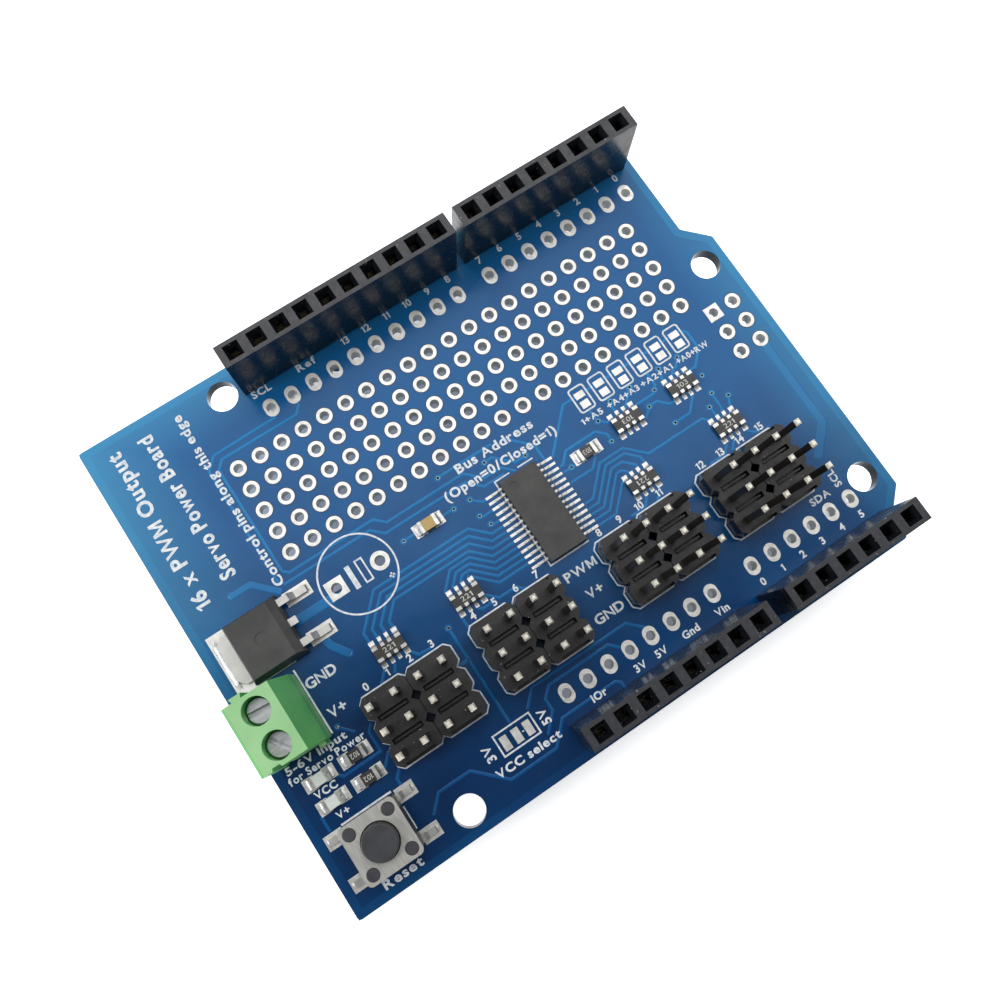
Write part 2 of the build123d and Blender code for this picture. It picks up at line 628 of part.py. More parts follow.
with BuildPart() as terminal_housing:
    with BuildSketch(Plane.XZ.offset(-at(0, TERMINAL_CENTRE_Y)[1])) as profile:
        with BuildLine():
            Polyline(
                (at(TERMINAL_X[0], 0)[0], BOARD_TOP),
                (at(TERMINAL_X[0], 0)[0], BOARD_TOP + TERMINAL_HEIGHT - 0.3),
                (at(TERMINAL_X[0] + 0.3, 0)[0], BOARD_TOP + TERMINAL_HEIGHT),
                (at(SLOPE_TOP_X, 0)[0], BOARD_TOP + TERMINAL_HEIGHT),
                (at(TERMINAL_X[1], 0)[0], BOARD_TOP + SLOPE_FOOT_Z),
                (at(TERMINAL_X[1], 0)[0], BOARD_TOP),
                close=True,
            )
        make_face()
    extrude(amount=TERMINAL_WIDTH / 2, both=True)
    # Dovetail ribs on one side and matching grooves on the other, for ganging blocks.
    front_side = at(0, TERMINAL_CENTRE_Y + TERMINAL_WIDTH / 2)[1]
    rear_side = at(0, TERMINAL_CENTRE_Y - TERMINAL_WIDTH / 2)[1]
    rib_left = at(RIB_X[0], 0)[0]
    rib_right = at(RIB_X[1], 0)[0]
    with BuildSketch(Plane.XY.offset(BOARD_TOP)):
        with BuildLine():
            Polyline(
                (rib_left + 0.15, front_side),
                (rib_right - 0.15, front_side),
                (rib_right, front_side + RIB_DEPTH),
                (rib_left, front_side + RIB_DEPTH),
                close=True,
            )
        make_face()
    extrude(amount=TERMINAL_HEIGHT)
    with BuildSketch(Plane.XY.offset(BOARD_TOP)):
        with BuildLine():
            Polyline(
                (rib_left + 0.1, rear_side),
                (rib_right - 0.1, rear_side),
                (rib_right - 0.25, rear_side + 0.28),
                (rib_left + 0.25, rear_side + 0.28),
                close=True,
            )
        make_face()
    extrude(amount=TERMINAL_HEIGHT, mode=Mode.SUBTRACT)
    with BuildSketch(Plane.XY.offset(BOARD_TOP)):
        with Locations(at(sum(REAR_RIB_X) / 2, TERMINAL_CENTRE_Y - TERMINAL_WIDTH / 2 - RIB_DEPTH / 2)):
            Rectangle(REAR_RIB_X[1] - REAR_RIB_X[0], RIB_DEPTH)
    extrude(amount=SLOPE_FOOT_Z)
    for y in TERMINAL_POLES_Y:
        centre = at(TERMINAL_SCREW_X, y)
        with BuildSketch(Plane.XY.offset(BOARD_TOP + WELL_FLOOR)):
            with Locations(centre):
                Circle(WELL_RADIUS)
        extrude(amount=TERMINAL_HEIGHT - WELL_FLOOR, mode=Mode.SUBTRACT)
        with BuildSketch(Plane.XY.offset(BOARD_TOP)):
            with Locations(centre):
                Circle(SHAFT_HOLE_RADIUS)
        extrude(amount=WELL_FLOOR, mode=Mode.SUBTRACT)
        with BuildSketch(Plane.XY.offset(BOARD_TOP)):
            with Locations(at(sum(CELL_X) / 2, y)):
                Rectangle(CELL_X[1] - CELL_X[0], 2 * CELL_HALF_WIDTH)
        extrude(amount=CELL_ROOF, mode=Mode.SUBTRACT)
        with BuildSketch(Plane.YZ.offset(at(TERMINAL_X[0], 0)[0])):
            with Locations((at(0, y)[1], BOARD_TOP + sum(ENTRY_Z) / 2)):
                Rectangle(ENTRY_WIDTH, ENTRY_Z[1] - ENTRY_Z[0])
        extrude(amount=CELL_X[0] - TERMINAL_X[0] + 0.1, mode=Mode.SUBTRACT)
    with BuildSketch(Plane.XY.offset(BOARD_TOP)):
        with Locations(*TERMINAL_POINTS):
            Circle(TERMINAL_PAD_RADIUS + 0.1)
    extrude(amount=0.1, mode=Mode.SUBTRACT)
terminal_housing.part.label = "terminal_housing"
export_step(terminal_housing.part, "parts/terminal_housing.step")

for index, y in enumerate(TERMINAL_POLES_Y, start=1):
    centre = at(TERMINAL_SCREW_X, y)
    with BuildPart() as terminal_screw:
        with BuildSketch(Plane.XY.offset(BOARD_TOP + WELL_FLOOR)):
            with Locations(centre):
                Circle(SCREW_HEAD_RADIUS)
        extrude(amount=SCREW_HEAD_TOP - WELL_FLOOR)
        chamfer(terminal_screw.faces().sort_by(Axis.Z)[-1].edges(), length=0.12)
        with BuildSketch(Plane.XY.offset(BOARD_TOP + SCREW_TIP)):
            with Locations(centre):
                Circle(SCREW_SHAFT_RADIUS)
        extrude(amount=WELL_FLOOR - SCREW_TIP)
        with BuildSketch(Plane.XY.offset(BOARD_TOP + SCREW_HEAD_TOP)):
            with Locations(centre):
                Rectangle(3 * SCREW_HEAD_RADIUS, SCREW_SLOT[0], rotation=SCREW_SLOT_ANGLES[index - 1])
        extrude(amount=-SCREW_SLOT[1], mode=Mode.SUBTRACT)
    terminal_screw.part.label = f"terminal_screw_{index}"
    export_step(terminal_screw.part, f"parts/terminal_screw_{index}.step")

    with BuildPart() as wire_cage:
        with BuildSketch(Plane.XY.offset(BOARD_TOP + CAGE_Z[0])):
            with Locations(at(sum(CAGE_X) / 2, y)):
                Rectangle(CAGE_X[1] - CAGE_X[0], 2 * CAGE_HALF_WIDTH)
        extrude(amount=CAGE_Z[1] - CAGE_Z[0])
        with BuildSketch(Plane.YZ.offset(at(CAGE_X[0], 0)[0])):
            with Locations((at(0, y)[1], BOARD_TOP + sum(CAGE_WINDOW_Z) / 2)):
                Rectangle(CAGE_WINDOW_WIDTH, CAGE_WINDOW_Z[1] - CAGE_WINDOW_Z[0])
        extrude(amount=CAGE_X[1] - CAGE_X[0], mode=Mode.SUBTRACT)
        with BuildSketch(Plane.XY.offset(BOARD_TOP + CAGE_Z[1])):
            with Locations(centre):
                Circle(CAGE_THREAD_RADIUS)
        extrude(amount=CAGE_WINDOW_Z[1] - CAGE_Z[1], mode=Mode.SUBTRACT)
    wire_cage.part.label = f"terminal_wire_cage_{index}"
    export_step(wire_cage.part, f"parts/terminal_wire_cage_{index}.step")

with BuildPart() as terminal_contacts:
    for y in TERMINAL_POLES_Y:
        with BuildSketch(Plane.XY.offset(BOARD_TOP + TONGUE_Z[0])):
            with Locations(at(sum(TONGUE_X) / 2, y)):
                Rectangle(TONGUE_X[1] - TONGUE_X[0], TONGUE_WIDTH)
        extrude(amount=TONGUE_Z[1] - TONGUE_Z[0])
        with BuildSketch(Plane.XY.offset(BOARD_TOP + PAD_THICKNESS)):
            with Locations(at(sum(CONTACT_LEG_X) / 2, y)):
                Rectangle(CONTACT_LEG_X[1] - CONTACT_LEG_X[0], TONGUE_WIDTH)
        extrude(amount=TONGUE_Z[0] - PAD_THICKNESS)
        with BuildSketch(Plane.XY.offset(BOARD_TOP - CONTACT_TAIL)):
            with Locations(at(sum(CONTACT_LEG_X) / 2, y)):
                Rectangle(CONTACT_LEG_X[1] - CONTACT_LEG_X[0], CONTACT_TAIL_WIDTH)
        extrude(amount=CONTACT_TAIL + PAD_THICKNESS)
terminal_contacts.part.label = "terminal_contacts"
export_step(terminal_contacts.part, "parts/terminal_contacts.step")


# ---------------------------------------------------------------- reset switch
SWITCH_SIZE = 6.0
SWITCH_BASE_SIZE = 5.9
SWITCH_STANDOFF = 0.1
SWITCH_FLOOR = 0.75              # top of the base's floor, under the dome
SWITCH_COVER_Z = (3.22, 3.5)
SWITCH_CORNER = 0.55
SWITCH_POST_SPREAD = 2.08
SWITCH_POST_RADIUS = 0.64
SWITCH_POST_TOP = 3.6
SWITCH_WELL_RADIUS = 2.3
PLUNGER_RADIUS = 1.75
PLUNGER_FLANGE_RADIUS = 2.12
PLUNGER_FLANGE_Z = (2.35, 3.17)
PLUNGER_TOP = 4.3
PLUNGER_NUB_RADIUS = 0.6
COVER_HOLE_RADIUS = 1.88
DOME_RADIUS = 2.0
DOME_THICKNESS = 0.08
DOME_APEX = 1.55
SWITCH_LEAD_WIDTH = 0.7
SWITCH_LEAD_THICKNESS = 0.2
SWITCH_LEAD_TOE = 4.5
SWITCH_LEAD_LEVEL = 0.5

POST_POINTS = [
    shifted(SWITCH_CENTRE, dx * SWITCH_POST_SPREAD, dy * SWITCH_POST_SPREAD) for dx in (-1, 1) for dy in (-1, 1)
]

with BuildPart() as reset_switch_terminals:
    switch_x = SWITCH_CENTRE[0]
    lead_under = BOARD_TOP + SWITCH_LEAD_LEVEL
    with BuildSketch(Plane.XZ.offset(-SWITCH_CENTRE[1])):
        with BuildLine():
            Polyline(
                (switch_x + 2.3, lead_under + SWITCH_LEAD_THICKNESS),
                (switch_x + 3.3, lead_under + SWITCH_LEAD_THICKNESS),
                (switch_x + 3.65, foot + SWITCH_LEAD_THICKNESS),
                (switch_x + SWITCH_LEAD_TOE, foot + SWITCH_LEAD_THICKNESS),
                (switch_x + SWITCH_LEAD_TOE, foot),
                (switch_x + 3.5, foot),
                (switch_x + 3.15, lead_under),
                (switch_x + 2.3, lead_under),
                close=True,
            )
        make_face()
    extrude(amount=SWITCH_LEAD_WIDTH / 2, both=True)
one_terminal = reset_switch_terminals.part
with BuildPart() as reset_switch_terminals:
    with Locations((0, SWITCH_LEAD_SPREAD), (0, -SWITCH_LEAD_SPREAD)):
        add(one_terminal)
    mirror(about=Plane.YZ.offset(SWITCH_CENTRE[0]))
reset_switch_terminals.part.label = "reset_switch_terminals"
export_step(reset_switch_terminals.part, "parts/reset_switch_terminals.step")

with BuildPart() as reset_switch_base:
    with BuildSketch(Plane.XY.offset(BOARD_TOP + SWITCH_STANDOFF)):
        with Locations(SWITCH_CENTRE):
            RectangleRounded(SWITCH_BASE_SIZE, SWITCH_BASE_SIZE, SWITCH_CORNER)
    extrude(amount=SWITCH_COVER_Z[0] - SWITCH_STANDOFF)
    with BuildSketch(Plane.XY.offset(BOARD_TOP + SWITCH_FLOOR)):
        with Locations(SWITCH_CENTRE):
            Circle(SWITCH_WELL_RADIUS)
    extrude(amount=SWITCH_COVER_Z[0] - SWITCH_FLOOR, mode=Mode.SUBTRACT)
    with BuildSketch(Plane.XY.offset(BOARD_TOP + SWITCH_COVER_Z[0])):
        with Locations(*POST_POINTS):
            Circle(SWITCH_POST_RADIUS)
    extrude(amount=SWITCH_POST_TOP - SWITCH_COVER_Z[0])
    chamfer(reset_switch_base.faces().group_by(Axis.Z)[-1].edges(), length=0.08)
    add(reset_switch_terminals.part, mode=Mode.SUBTRACT)
reset_switch_base.part.label = "reset_switch_base"
export_step(reset_switch_base.part, "parts/reset_switch_base.step")

with BuildPart() as reset_switch_cover:
    with BuildSketch(Plane.XY.offset(BOARD_TOP + SWITCH_COVER_Z[0])):
        with Locations(SWITCH_CENTRE):
            RectangleRounded(SWITCH_SIZE, SWITCH_SIZE, SWITCH_CORNER)
            Circle(COVER_HOLE_RADIUS, mode=Mode.SUBTRACT)
        with Locations(*POST_POINTS):
            Circle(SWITCH_POST_RADIUS, mode=Mode.SUBTRACT)
    extrude(amount=SWITCH_COVER_Z[1] - SWITCH_COVER_Z[0])
reset_switch_cover.part.label = "reset_switch_cover"
export_step(reset_switch_cover.part, "parts/reset_switch_cover.step")

with BuildPart() as reset_button:
    with BuildSketch(Plane.XY.offset(BOARD_TOP + PLUNGER_FLANGE_Z[0])):
        with Locations(SWITCH_CENTRE):
            Circle(PLUNGER_FLANGE_RADIUS)
    extrude(amount=PLUNGER_FLANGE_Z[1] - PLUNGER_FLANGE_Z[0])
    with BuildSketch(Plane.XY.offset(BOARD_TOP + PLUNGER_FLANGE_Z[1])):
        with Locations(SWITCH_CENTRE):
            Circle(PLUNGER_RADIUS)
    extrude(amount=PLUNGER_TOP - PLUNGER_FLANGE_Z[1])
    fillet(reset_button.faces().sort_by(Axis.Z)[-1].edges(), radius=0.15)
    with BuildSketch(Plane.XY.offset(BOARD_TOP + DOME_APEX + 0.01)):
        with Locations(SWITCH_CENTRE):
            Circle(PLUNGER_NUB_RADIUS)
    extrude(amount=PLUNGER_FLANGE_Z[0] - DOME_APEX - 0.01)
reset_button.part.label = "reset_button"
export_step(reset_button.part, "parts/reset_button.step")

# The snap dome: a shallow spherical cap of spring steel resting on the base's floor.
dome_rise = DOME_APEX - SWITCH_FLOOR
dome_sphere = (DOME_RADIUS**2 + dome_rise**2) / (2 * dome_rise)
dome_centre_z = BOARD_TOP + DOME_APEX - dome_sphere
with BuildPart() as reset_switch_dome:
    with Locations((SWITCH_CENTRE[0], SWITCH_CENTRE[1], dome_centre_z)):
        Sphere(dome_sphere)
        Sphere(dome_sphere - DOME_THICKNESS, mode=Mode.SUBTRACT)
    split(bisect_by=Plane.XY.offset(BOARD_TOP + SWITCH_FLOOR), keep=Keep.TOP)
reset_switch_dome.part.label = "reset_switch_dome"
export_step(reset_switch_dome.part, "parts/reset_switch_dome.step")


# ---------------------------------------------------------------- chip parts
CHIP_PART_SIZE = (2.0, 1.25)
CAP_LENGTH = 0.35                # metal end caps wrap the ceramic
CAP_WALL = 0.03
RESISTOR_HEIGHT = 0.5
CAPACITOR_HEIGHT = 0.9
NETWORK_SIZE = (3.2, 1.6)
NETWORK_HEIGHT = 0.5
NETWORK_CAP_DEPTH = 0.35


def chip_bodies(points, size, height, wall_x, wall_y):
    """Ceramic bodies, held in by the wall of the metal on the sides that carry it."""
    with BuildPart() as bodies:
        with BuildSketch(Plane.XY.offset(foot + CAP_WALL)):
            with Locations(*points):
                Rectangle(size[0] - 2 * wall_x, size[1] - 2 * wall_y)
        extrude(amount=height - 2 * CAP_WALL)
    return bodies.part


def end_caps(points, height):
    """A metal cap around each end of every two-ended chip part."""
    with BuildPart() as caps:
        with BuildSketch(Plane.XY.offset(foot)):
            for side in (-1, 1):
                offset_x = side * (CHIP_PART_SIZE[0] - CAP_LENGTH) / 2
                with Locations(*[shifted(point, offset_x, 0) for point in points]):
                    Rectangle(CAP_LENGTH, CHIP_PART_SIZE[1])
        extrude(amount=height)
        add(chip_bodies(points, CHIP_PART_SIZE, height, CAP_WALL, CAP_WALL), mode=Mode.SUBTRACT)
    return caps.part


resistor_bodies = chip_bodies(CHIP_RESISTOR_POINTS, CHIP_PART_SIZE, RESISTOR_HEIGHT, CAP_WALL, CAP_WALL)
resistor_bodies.label = "chip_resistors"
export_step(resistor_bodies, "parts/chip_resistors.step")

resistor_caps = end_caps(CHIP_RESISTOR_POINTS, RESISTOR_HEIGHT)
resistor_caps.label = "chip_resistor_end_caps"
export_step(resistor_caps, "parts/chip_resistor_end_caps.step")

capacitor_body = chip_bodies([BYPASS_CAPACITOR_POINT], CHIP_PART_SIZE, CAPACITOR_HEIGHT, CAP_WALL, CAP_WALL)
capacitor_body.label = "bypass_capacitor"
export_step(capacitor_body, "parts/bypass_capacitor.step")

capacitor_caps = end_caps([BYPASS_CAPACITOR_POINT], CAPACITOR_HEIGHT)
capacitor_caps.label = "bypass_capacitor_end_caps"
export_step(capacitor_caps, "parts/bypass_capacitor_end_caps.step")

network_bodies = chip_bodies(NETWORK_POINTS, NETWORK_SIZE, NETWORK_HEIGHT, 0, CAP_WALL)
network_bodies.label = "resistor_networks"
export_step(network_bodies, "parts/resistor_networks.step")

with BuildPart() as resistor_network_terminals:
    with BuildSketch(Plane.XY.offset(foot)):
        for side in (-1, 1):
            offset_y = side * (NETWORK_SIZE[1] - NETWORK_CAP_DEPTH) / 2
            for dx, width in NETWORK_TERMINALS:
                with Locations(*[shifted(point, dx, offset_y) for point in NETWORK_POINTS]):
                    Rectangle(width, NETWORK_CAP_DEPTH)
    extrude(amount=NETWORK_HEIGHT)
    add(network_bodies, mode=Mode.SUBTRACT)
resistor_network_terminals.part.label = "resistor_network_terminals"
export_step(resistor_network_terminals.part, "parts/resistor_network_terminals.step")

# Status lights: a small carrier with plated ends, a clear moulded lens and the die inside.
LED_CARRIER_HEIGHT = 0.3
LED_LENS = (1.3, 1.25)
LED_HEIGHT = 0.85
LED_END = 0.32
LED_DIE = 0.28
LED_DIE_HEIGHT = 0.15
led_carrier_top = foot + LED_CARRIER_HEIGHT

with BuildPart() as status_lights:
    with BuildSketch(Plane.XY.offset(foot)):
        with Locations(*LED_POINTS):
            Rectangle(CHIP_PART_SIZE[0] - 2 * LED_END, CHIP_PART_SIZE[1])
    extrude(amount=LED_CARRIER_HEIGHT)
status_lights.part.label = "status_lights"
export_step(status_lights.part, "parts/status_lights.step")

with BuildPart() as status_light_ends:
    with BuildSketch(Plane.XY.offset(foot)):
        for side in (-1, 1):
            offset_x = side * (CHIP_PART_SIZE[0] - LED_END) / 2
            with Locations(*[shifted(point, offset_x, 0) for point in LED_POINTS]):
                Rectangle(LED_END, CHIP_PART_SIZE[1])
            with Locations(*[shifted(point, side * CHIP_PART_SIZE[0] / 2, 0) for point in LED_POINTS]):
                Circle(0.2, mode=Mode.SUBTRACT)
    extrude(amount=LED_CARRIER_HEIGHT + 0.02)
status_light_ends.part.label = "status_light_ends"
export_step(status_light_ends.part, "parts/status_light_ends.step")

with BuildPart() as status_light_dies:
    with BuildSketch(Plane.XY.offset(led_carrier_top)):
        with Locations(*LED_POINTS):
            Rectangle(LED_DIE, LED_DIE)
    extrude(amount=LED_DIE_HEIGHT)
status_light_dies.part.label = "status_light_dies"
export_step(status_light_dies.part, "parts/status_light_dies.step")

with BuildPart() as status_light_lenses:
    with BuildSketch(Plane.XY.offset(led_carrier_top)):
        with Locations(*LED_POINTS):
            Rectangle(*LED_LENS)
    extrude(amount=LED_HEIGHT - LED_CARRIER_HEIGHT, taper=6)
    add(status_light_dies.part, mode=Mode.SUBTRACT)
status_light_lenses.part.label = "status_light_lenses"
export_step(status_light_lenses.part, "parts/status_light_lenses.step")


# ---------------------------------------------------------------- solder joints
SOLDER_HEIGHT = 0.9
SOLDER_FOOT = 0.78
SOLDER_NECK = 0.42


def solder_fillets(label, points, hole_x, hole_y, scale=1.0):
    """Concave cones of solder on the underside, one round each pin."""
    level = BOARD_BOTTOM - PAD_THICKNESS
    with BuildPart() as fillet_ring:
        with BuildSketch(Plane.XZ):
            with BuildLine():
                Line((0, level), (SOLDER_FOOT * scale, level))
                ThreePointArc(
                    (SOLDER_FOOT * scale, level),
                    (0.52 * scale, level - 0.35 * SOLDER_HEIGHT),
                    (SOLDER_NECK * scale, level - SOLDER_HEIGHT),
                )
                Line((SOLDER_NECK * scale, level - SOLDER_HEIGHT), (0, level - SOLDER_HEIGHT))
                Line((0, level - SOLDER_HEIGHT), (0, level))
            make_face()
        revolve(axis=Axis.Z)
        with BuildSketch(Plane.XY.offset(level)):
            Rectangle(hole_x, hole_y)
        extrude(amount=-SOLDER_HEIGHT, mode=Mode.SUBTRACT)
    with BuildPart() as joints:
        with Locations(*points):
            add(fillet_ring.part)
    joints.part.label = label
    export_step(joints.part, f"parts/{label}.step")


solder_fillets("header_solder", HEADER_POINTS, PIN, PIN)
solder_fillets("servo_header_solder", SERVO_POINTS, PIN, PIN)
solder_fillets(
    "terminal_solder",
    TERMINAL_POINTS,
    CONTACT_LEG_X[1] - CONTACT_LEG_X[0],
    CONTACT_TAIL_WIDTH,
    scale=1.3,
)
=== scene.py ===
"""Looks of the servo driver board: finishes, printed legend, copper tracks, solder and studio."""

import json
import math

import bmesh
import bpy
from mathutils import Matrix, Vector

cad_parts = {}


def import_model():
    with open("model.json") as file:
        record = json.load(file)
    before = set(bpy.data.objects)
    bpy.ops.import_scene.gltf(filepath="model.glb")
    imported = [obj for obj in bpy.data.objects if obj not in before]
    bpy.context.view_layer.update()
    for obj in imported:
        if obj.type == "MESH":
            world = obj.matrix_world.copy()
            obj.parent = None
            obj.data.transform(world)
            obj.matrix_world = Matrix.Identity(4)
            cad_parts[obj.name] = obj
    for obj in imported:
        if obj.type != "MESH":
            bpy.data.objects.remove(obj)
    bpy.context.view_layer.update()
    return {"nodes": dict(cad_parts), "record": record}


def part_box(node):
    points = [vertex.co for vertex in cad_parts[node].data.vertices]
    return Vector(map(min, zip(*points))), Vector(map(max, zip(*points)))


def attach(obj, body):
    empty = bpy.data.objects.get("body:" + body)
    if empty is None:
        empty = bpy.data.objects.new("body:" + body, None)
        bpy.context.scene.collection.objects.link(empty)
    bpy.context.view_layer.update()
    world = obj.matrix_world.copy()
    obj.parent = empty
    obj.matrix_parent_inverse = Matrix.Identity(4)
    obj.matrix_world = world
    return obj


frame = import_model()

MM = 0.001
PITCH = 2.54
BOARD_LOW, BOARD_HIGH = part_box("circuit_board")
BOARD_LENGTH = (BOARD_HIGH.x - BOARD_LOW.x) / MM
BOARD_WIDTH = (BOARD_HIGH.y - BOARD_LOW.y) / MM
MOUNTING_HOLES = [mount for mount in frame["record"]["mounts"] if mount["kind"] == "bore"]

# Heights above the bare board, in millimetres.
BORDER_LOW, BORDER_HIGH = 0.001, 0.004
TRACK_LOW, TRACK_HIGH = 0.001, 0.022
LEGEND_LOW, LEGEND_HIGH = 0.002, 0.034
TRACK_WIDTH = 0.3
TRACK_SLOPE = 0.07
LEGEND_WIDTH = 0.18
BORDER_WIDTH = 0.82
GAP_WIDTH, GAP_TOP = 0.09, 0.006
BORDER_INSET = 0.05
SHORTEST_MITRE = 0.45

# Rows of the stacking headers, in board coordinates from the lower left corner.
HIGH_ROW_START = 18.796
LOW_ROW_START = 45.72
ANALOG_ROW_START = 50.8

# Corners of the notched end, in board coordinates.
LOWER_SLANT = (PITCH, 2 * PITCH)
UPPER_SLANT = (37.846, 37.846 + PITCH)
CLIPPED_CORNER_Y = 51.816
CLIPPED_CORNER_X = 64.516


# ---------------------------------------------------------------- shapes

class Shape:
    """Collects solids in board millimetres and makes one piece of them."""

    def __init__(self):
        self.points = []
        self.faces = []

    def add(self, points, faces):
        first = len(self.points)
        self.points += [Vector(point) for point in points]
        self.faces += [[first + corner for corner in face] for face in faces]

    def piece(self, name, material, under=False):
        mesh = bpy.data.meshes.new(name)
        mesh.from_pydata([place(point, under) for point in self.points], [], self.faces)
        solid = bmesh.new()
        solid.from_mesh(mesh)
        bmesh.ops.recalc_face_normals(solid, faces=solid.faces)
        solid.to_mesh(mesh)
        solid.free()
        mesh.materials.append(material)
        made = bpy.data.objects.new(name, mesh)
        bpy.context.scene.collection.objects.link(made)
        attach(made, "board")


def place(point, under=False):
    """Board millimetres to the shared frame; under counts heights down from the lower face."""
    x = BOARD_LOW.x + point[0] * MM
    y = BOARD_LOW.y + point[1] * MM
    if under:
        return Vector((x, y, BOARD_LOW.z - point[2] * MM))
    return Vector((x, y, BOARD_HIGH.z + point[2] * MM))


def ribbon(shape, route, width, low, high, slope=0.0, closed=False):
    """A flat strip along a route, mitred at its corners, with sides that lean in by slope."""
    path = [Vector(point) for point in route]
    count = len(path)
    points = []
    for index, here in enumerate(path):
        has_before = closed or index > 0
        has_after = closed or index < count - 1
        after = (path[(index + 1) % count] - here).normalized() if has_after else None
        before = (here - path[index - 1]).normalized() if has_before else after
        after = after or before
        along = (before + after).normalized()
        side = Vector((-along.y, along.x)) / max(along.dot(after), SHORTEST_MITRE)
        wide = side * (width / 2)
        narrow = side * (width / 2 - slope)
        points += [
            (*(here + wide), low),
            (*(here - wide), low),
            (*(here - narrow), high),
            (*(here + narrow), high),
        ]
    faces = []
    for index in range(count if closed else count - 1):
        one, two = 4 * index, 4 * ((index + 1) % count)
        for corner in range(4):
            beside = (corner + 1) % 4
            faces.append((one + corner, one + beside, two + beside, two + corner))
    if not closed:
        last = 4 * (count - 1)
        faces += [(0, 1, 2, 3), (last, last + 1, last + 2, last + 3)]
    shape.add(points, faces)


def arc(centre, radius, start, end, steps):
    """Points on an arc, angles in degrees."""
    angles = [math.radians(start + (end - start) * step / steps) for step in range(steps + 1)]
    return [(centre[0] + radius * math.cos(a), centre[1] + radius * math.sin(a)) for a in angles]


def ring(shape, centre, radius, width, low, high, slope=0.0, steps=28):
    ribbon(shape, arc(centre, radius, 0, 360, steps)[:-1], width, low, high, slope, closed=True)


def rounded_box(x0, y0, x1, y1, radius):
    corners = [((x1, y1), 0), ((x0, y1), 90), ((x0, y0), 180), ((x1, y0), 270)]
    points = []
    for (x, y), start in corners:
        inner = (x - math.copysign(radius, x - (x0 + x1) / 2), y - math.copysign(radius, y - (y0 + y1) / 2))
        points += arc(inner, radius, start, start + 90, 4)
    return points


def islands(node):
    """Boxes of a node's separate solids, in board millimetres with heights above the board."""
    mesh = frame["nodes"][node].data
    keys = [tuple(round(value, 7) for value in vertex.co) for vertex in mesh.vertices]
    parent = {key: key for key in keys}

    def root(key):
        while parent[key] != key:
            parent[key] = parent[parent[key]]
            key = parent[key]
        return key

    for edge in mesh.edges:
        parent[root(keys[edge.vertices[0]])] = root(keys[edge.vertices[1]])
    groups = {}
    for key in set(keys):
        groups.setdefault(root(key), []).append(key)
    corner = Vector((BOARD_LOW.x, BOARD_LOW.y, BOARD_HIGH.z))
    boxes = []
    for group in groups.values():
        low = (Vector(map(min, zip(*group))) - corner) / MM
        high = (Vector(map(max, zip(*group))) - corner) / MM
        boxes.append((low, high))
    return sorted(boxes, key=lambda box: (round(box[0].x, 3), round(box[0].y, 3)))


# ---------------------------------------------------------------- material nodes

def material(name, colour, roughness, metallic=0.0, specular=0.5):
    made = bpy.data.materials.new(name)
    made.use_nodes = True
    shader = made.node_tree.nodes["Principled BSDF"]
    shader.inputs["Base Color"].default_value = (*colour, 1)
    shader.inputs["Roughness"].default_value = roughness
    shader.inputs["Metallic"].default_value = metallic
    shader.inputs["Specular IOR Level"].default_value = specular
    return made, made.node_tree, shader


def rest_coordinates(tree):
    return tree.nodes.new("ShaderNodeTexCoord").outputs["Object"]


def stretched(tree, vector, scale):
    node = tree.nodes.new("ShaderNodeMapping")
    node.inputs["Scale"].default_value = scale
    tree.links.new(vector, node.inputs["Vector"])
    return node.outputs["Vector"]


def noise(tree, per_mm, detail=4.0, vector=None):
    node = tree.nodes.new("ShaderNodeTexNoise")
    node.inputs["Scale"].default_value = per_mm / MM
    node.inputs["Detail"].default_value = detail
    tree.links.new(vector or rest_coordinates(tree), node.inputs["Vector"])
    return node.outputs["Fac"]


def between(tree, value, low, high, out_low, out_high):
    """Remaps a value from one range to another, clamped."""
    node = tree.nodes.new("ShaderNodeMapRange")
    settings = {"From Min": low, "From Max": high, "To Min": out_low, "To Max": out_high}
    for socket, number in settings.items():
        node.inputs[socket].default_value = number
    tree.links.new(value, node.inputs["Value"])
    return node.outputs["Result"]


def mixed(tree, factor, first, second):
    """Mix of two colours, each a triple or a socket."""
    node = tree.nodes.new("ShaderNodeMix")
    node.data_type = "RGBA"
    tree.links.new(factor, node.inputs["Factor"])
    for socket, colour in ((node.inputs[6], first), (node.inputs[7], second)):
        if isinstance(colour, tuple):
            socket.default_value = (*colour, 1)
        else:
            tree.links.new(colour, socket)
    return node.outputs[2]


def combine(tree, operation, first, second):
    node = tree.nodes.new("ShaderNodeMath")
    node.operation = operation
    for socket, value in zip(node.inputs, (first, second)):
        if isinstance(value, (int, float)):
            socket.default_value = value
        else:
            tree.links.new(value, socket)
    return node.outputs[0]


def bump(tree, shader, height, distance_mm, strength=1.0):
    node = tree.nodes.new("ShaderNodeBump")
    node.inputs["Strength"].default_value = strength
    node.inputs["Distance"].default_value = distance_mm * MM
    tree.links.new(height, node.inputs["Height"])
    tree.links.new(node.outputs["Normal"], shader.inputs["Normal"])


def facing_up(tree, threshold=0.6):
    """1 on faces that look up at rest, else 0."""
    normal = tree.nodes.new("ShaderNodeTexCoord").outputs["Normal"]
    split = tree.nodes.new("ShaderNodeSeparateXYZ")
    tree.links.new(normal, split.inputs[0])
    return between(tree, split.outputs["Z"], threshold - 0.1, threshold + 0.1, 0, 1), split.outputs["Z"]


def along_axis(tree, axis, low, high):
    """0 to 1 as the rest place runs from low to high along x, y or z, in millimetres."""
    split = tree.nodes.new("ShaderNodeSeparateXYZ")
    tree.links.new(rest_coordinates(tree), split.inputs[0])
    return between(tree, split.outputs[axis], low * MM, high * MM, 0, 1)


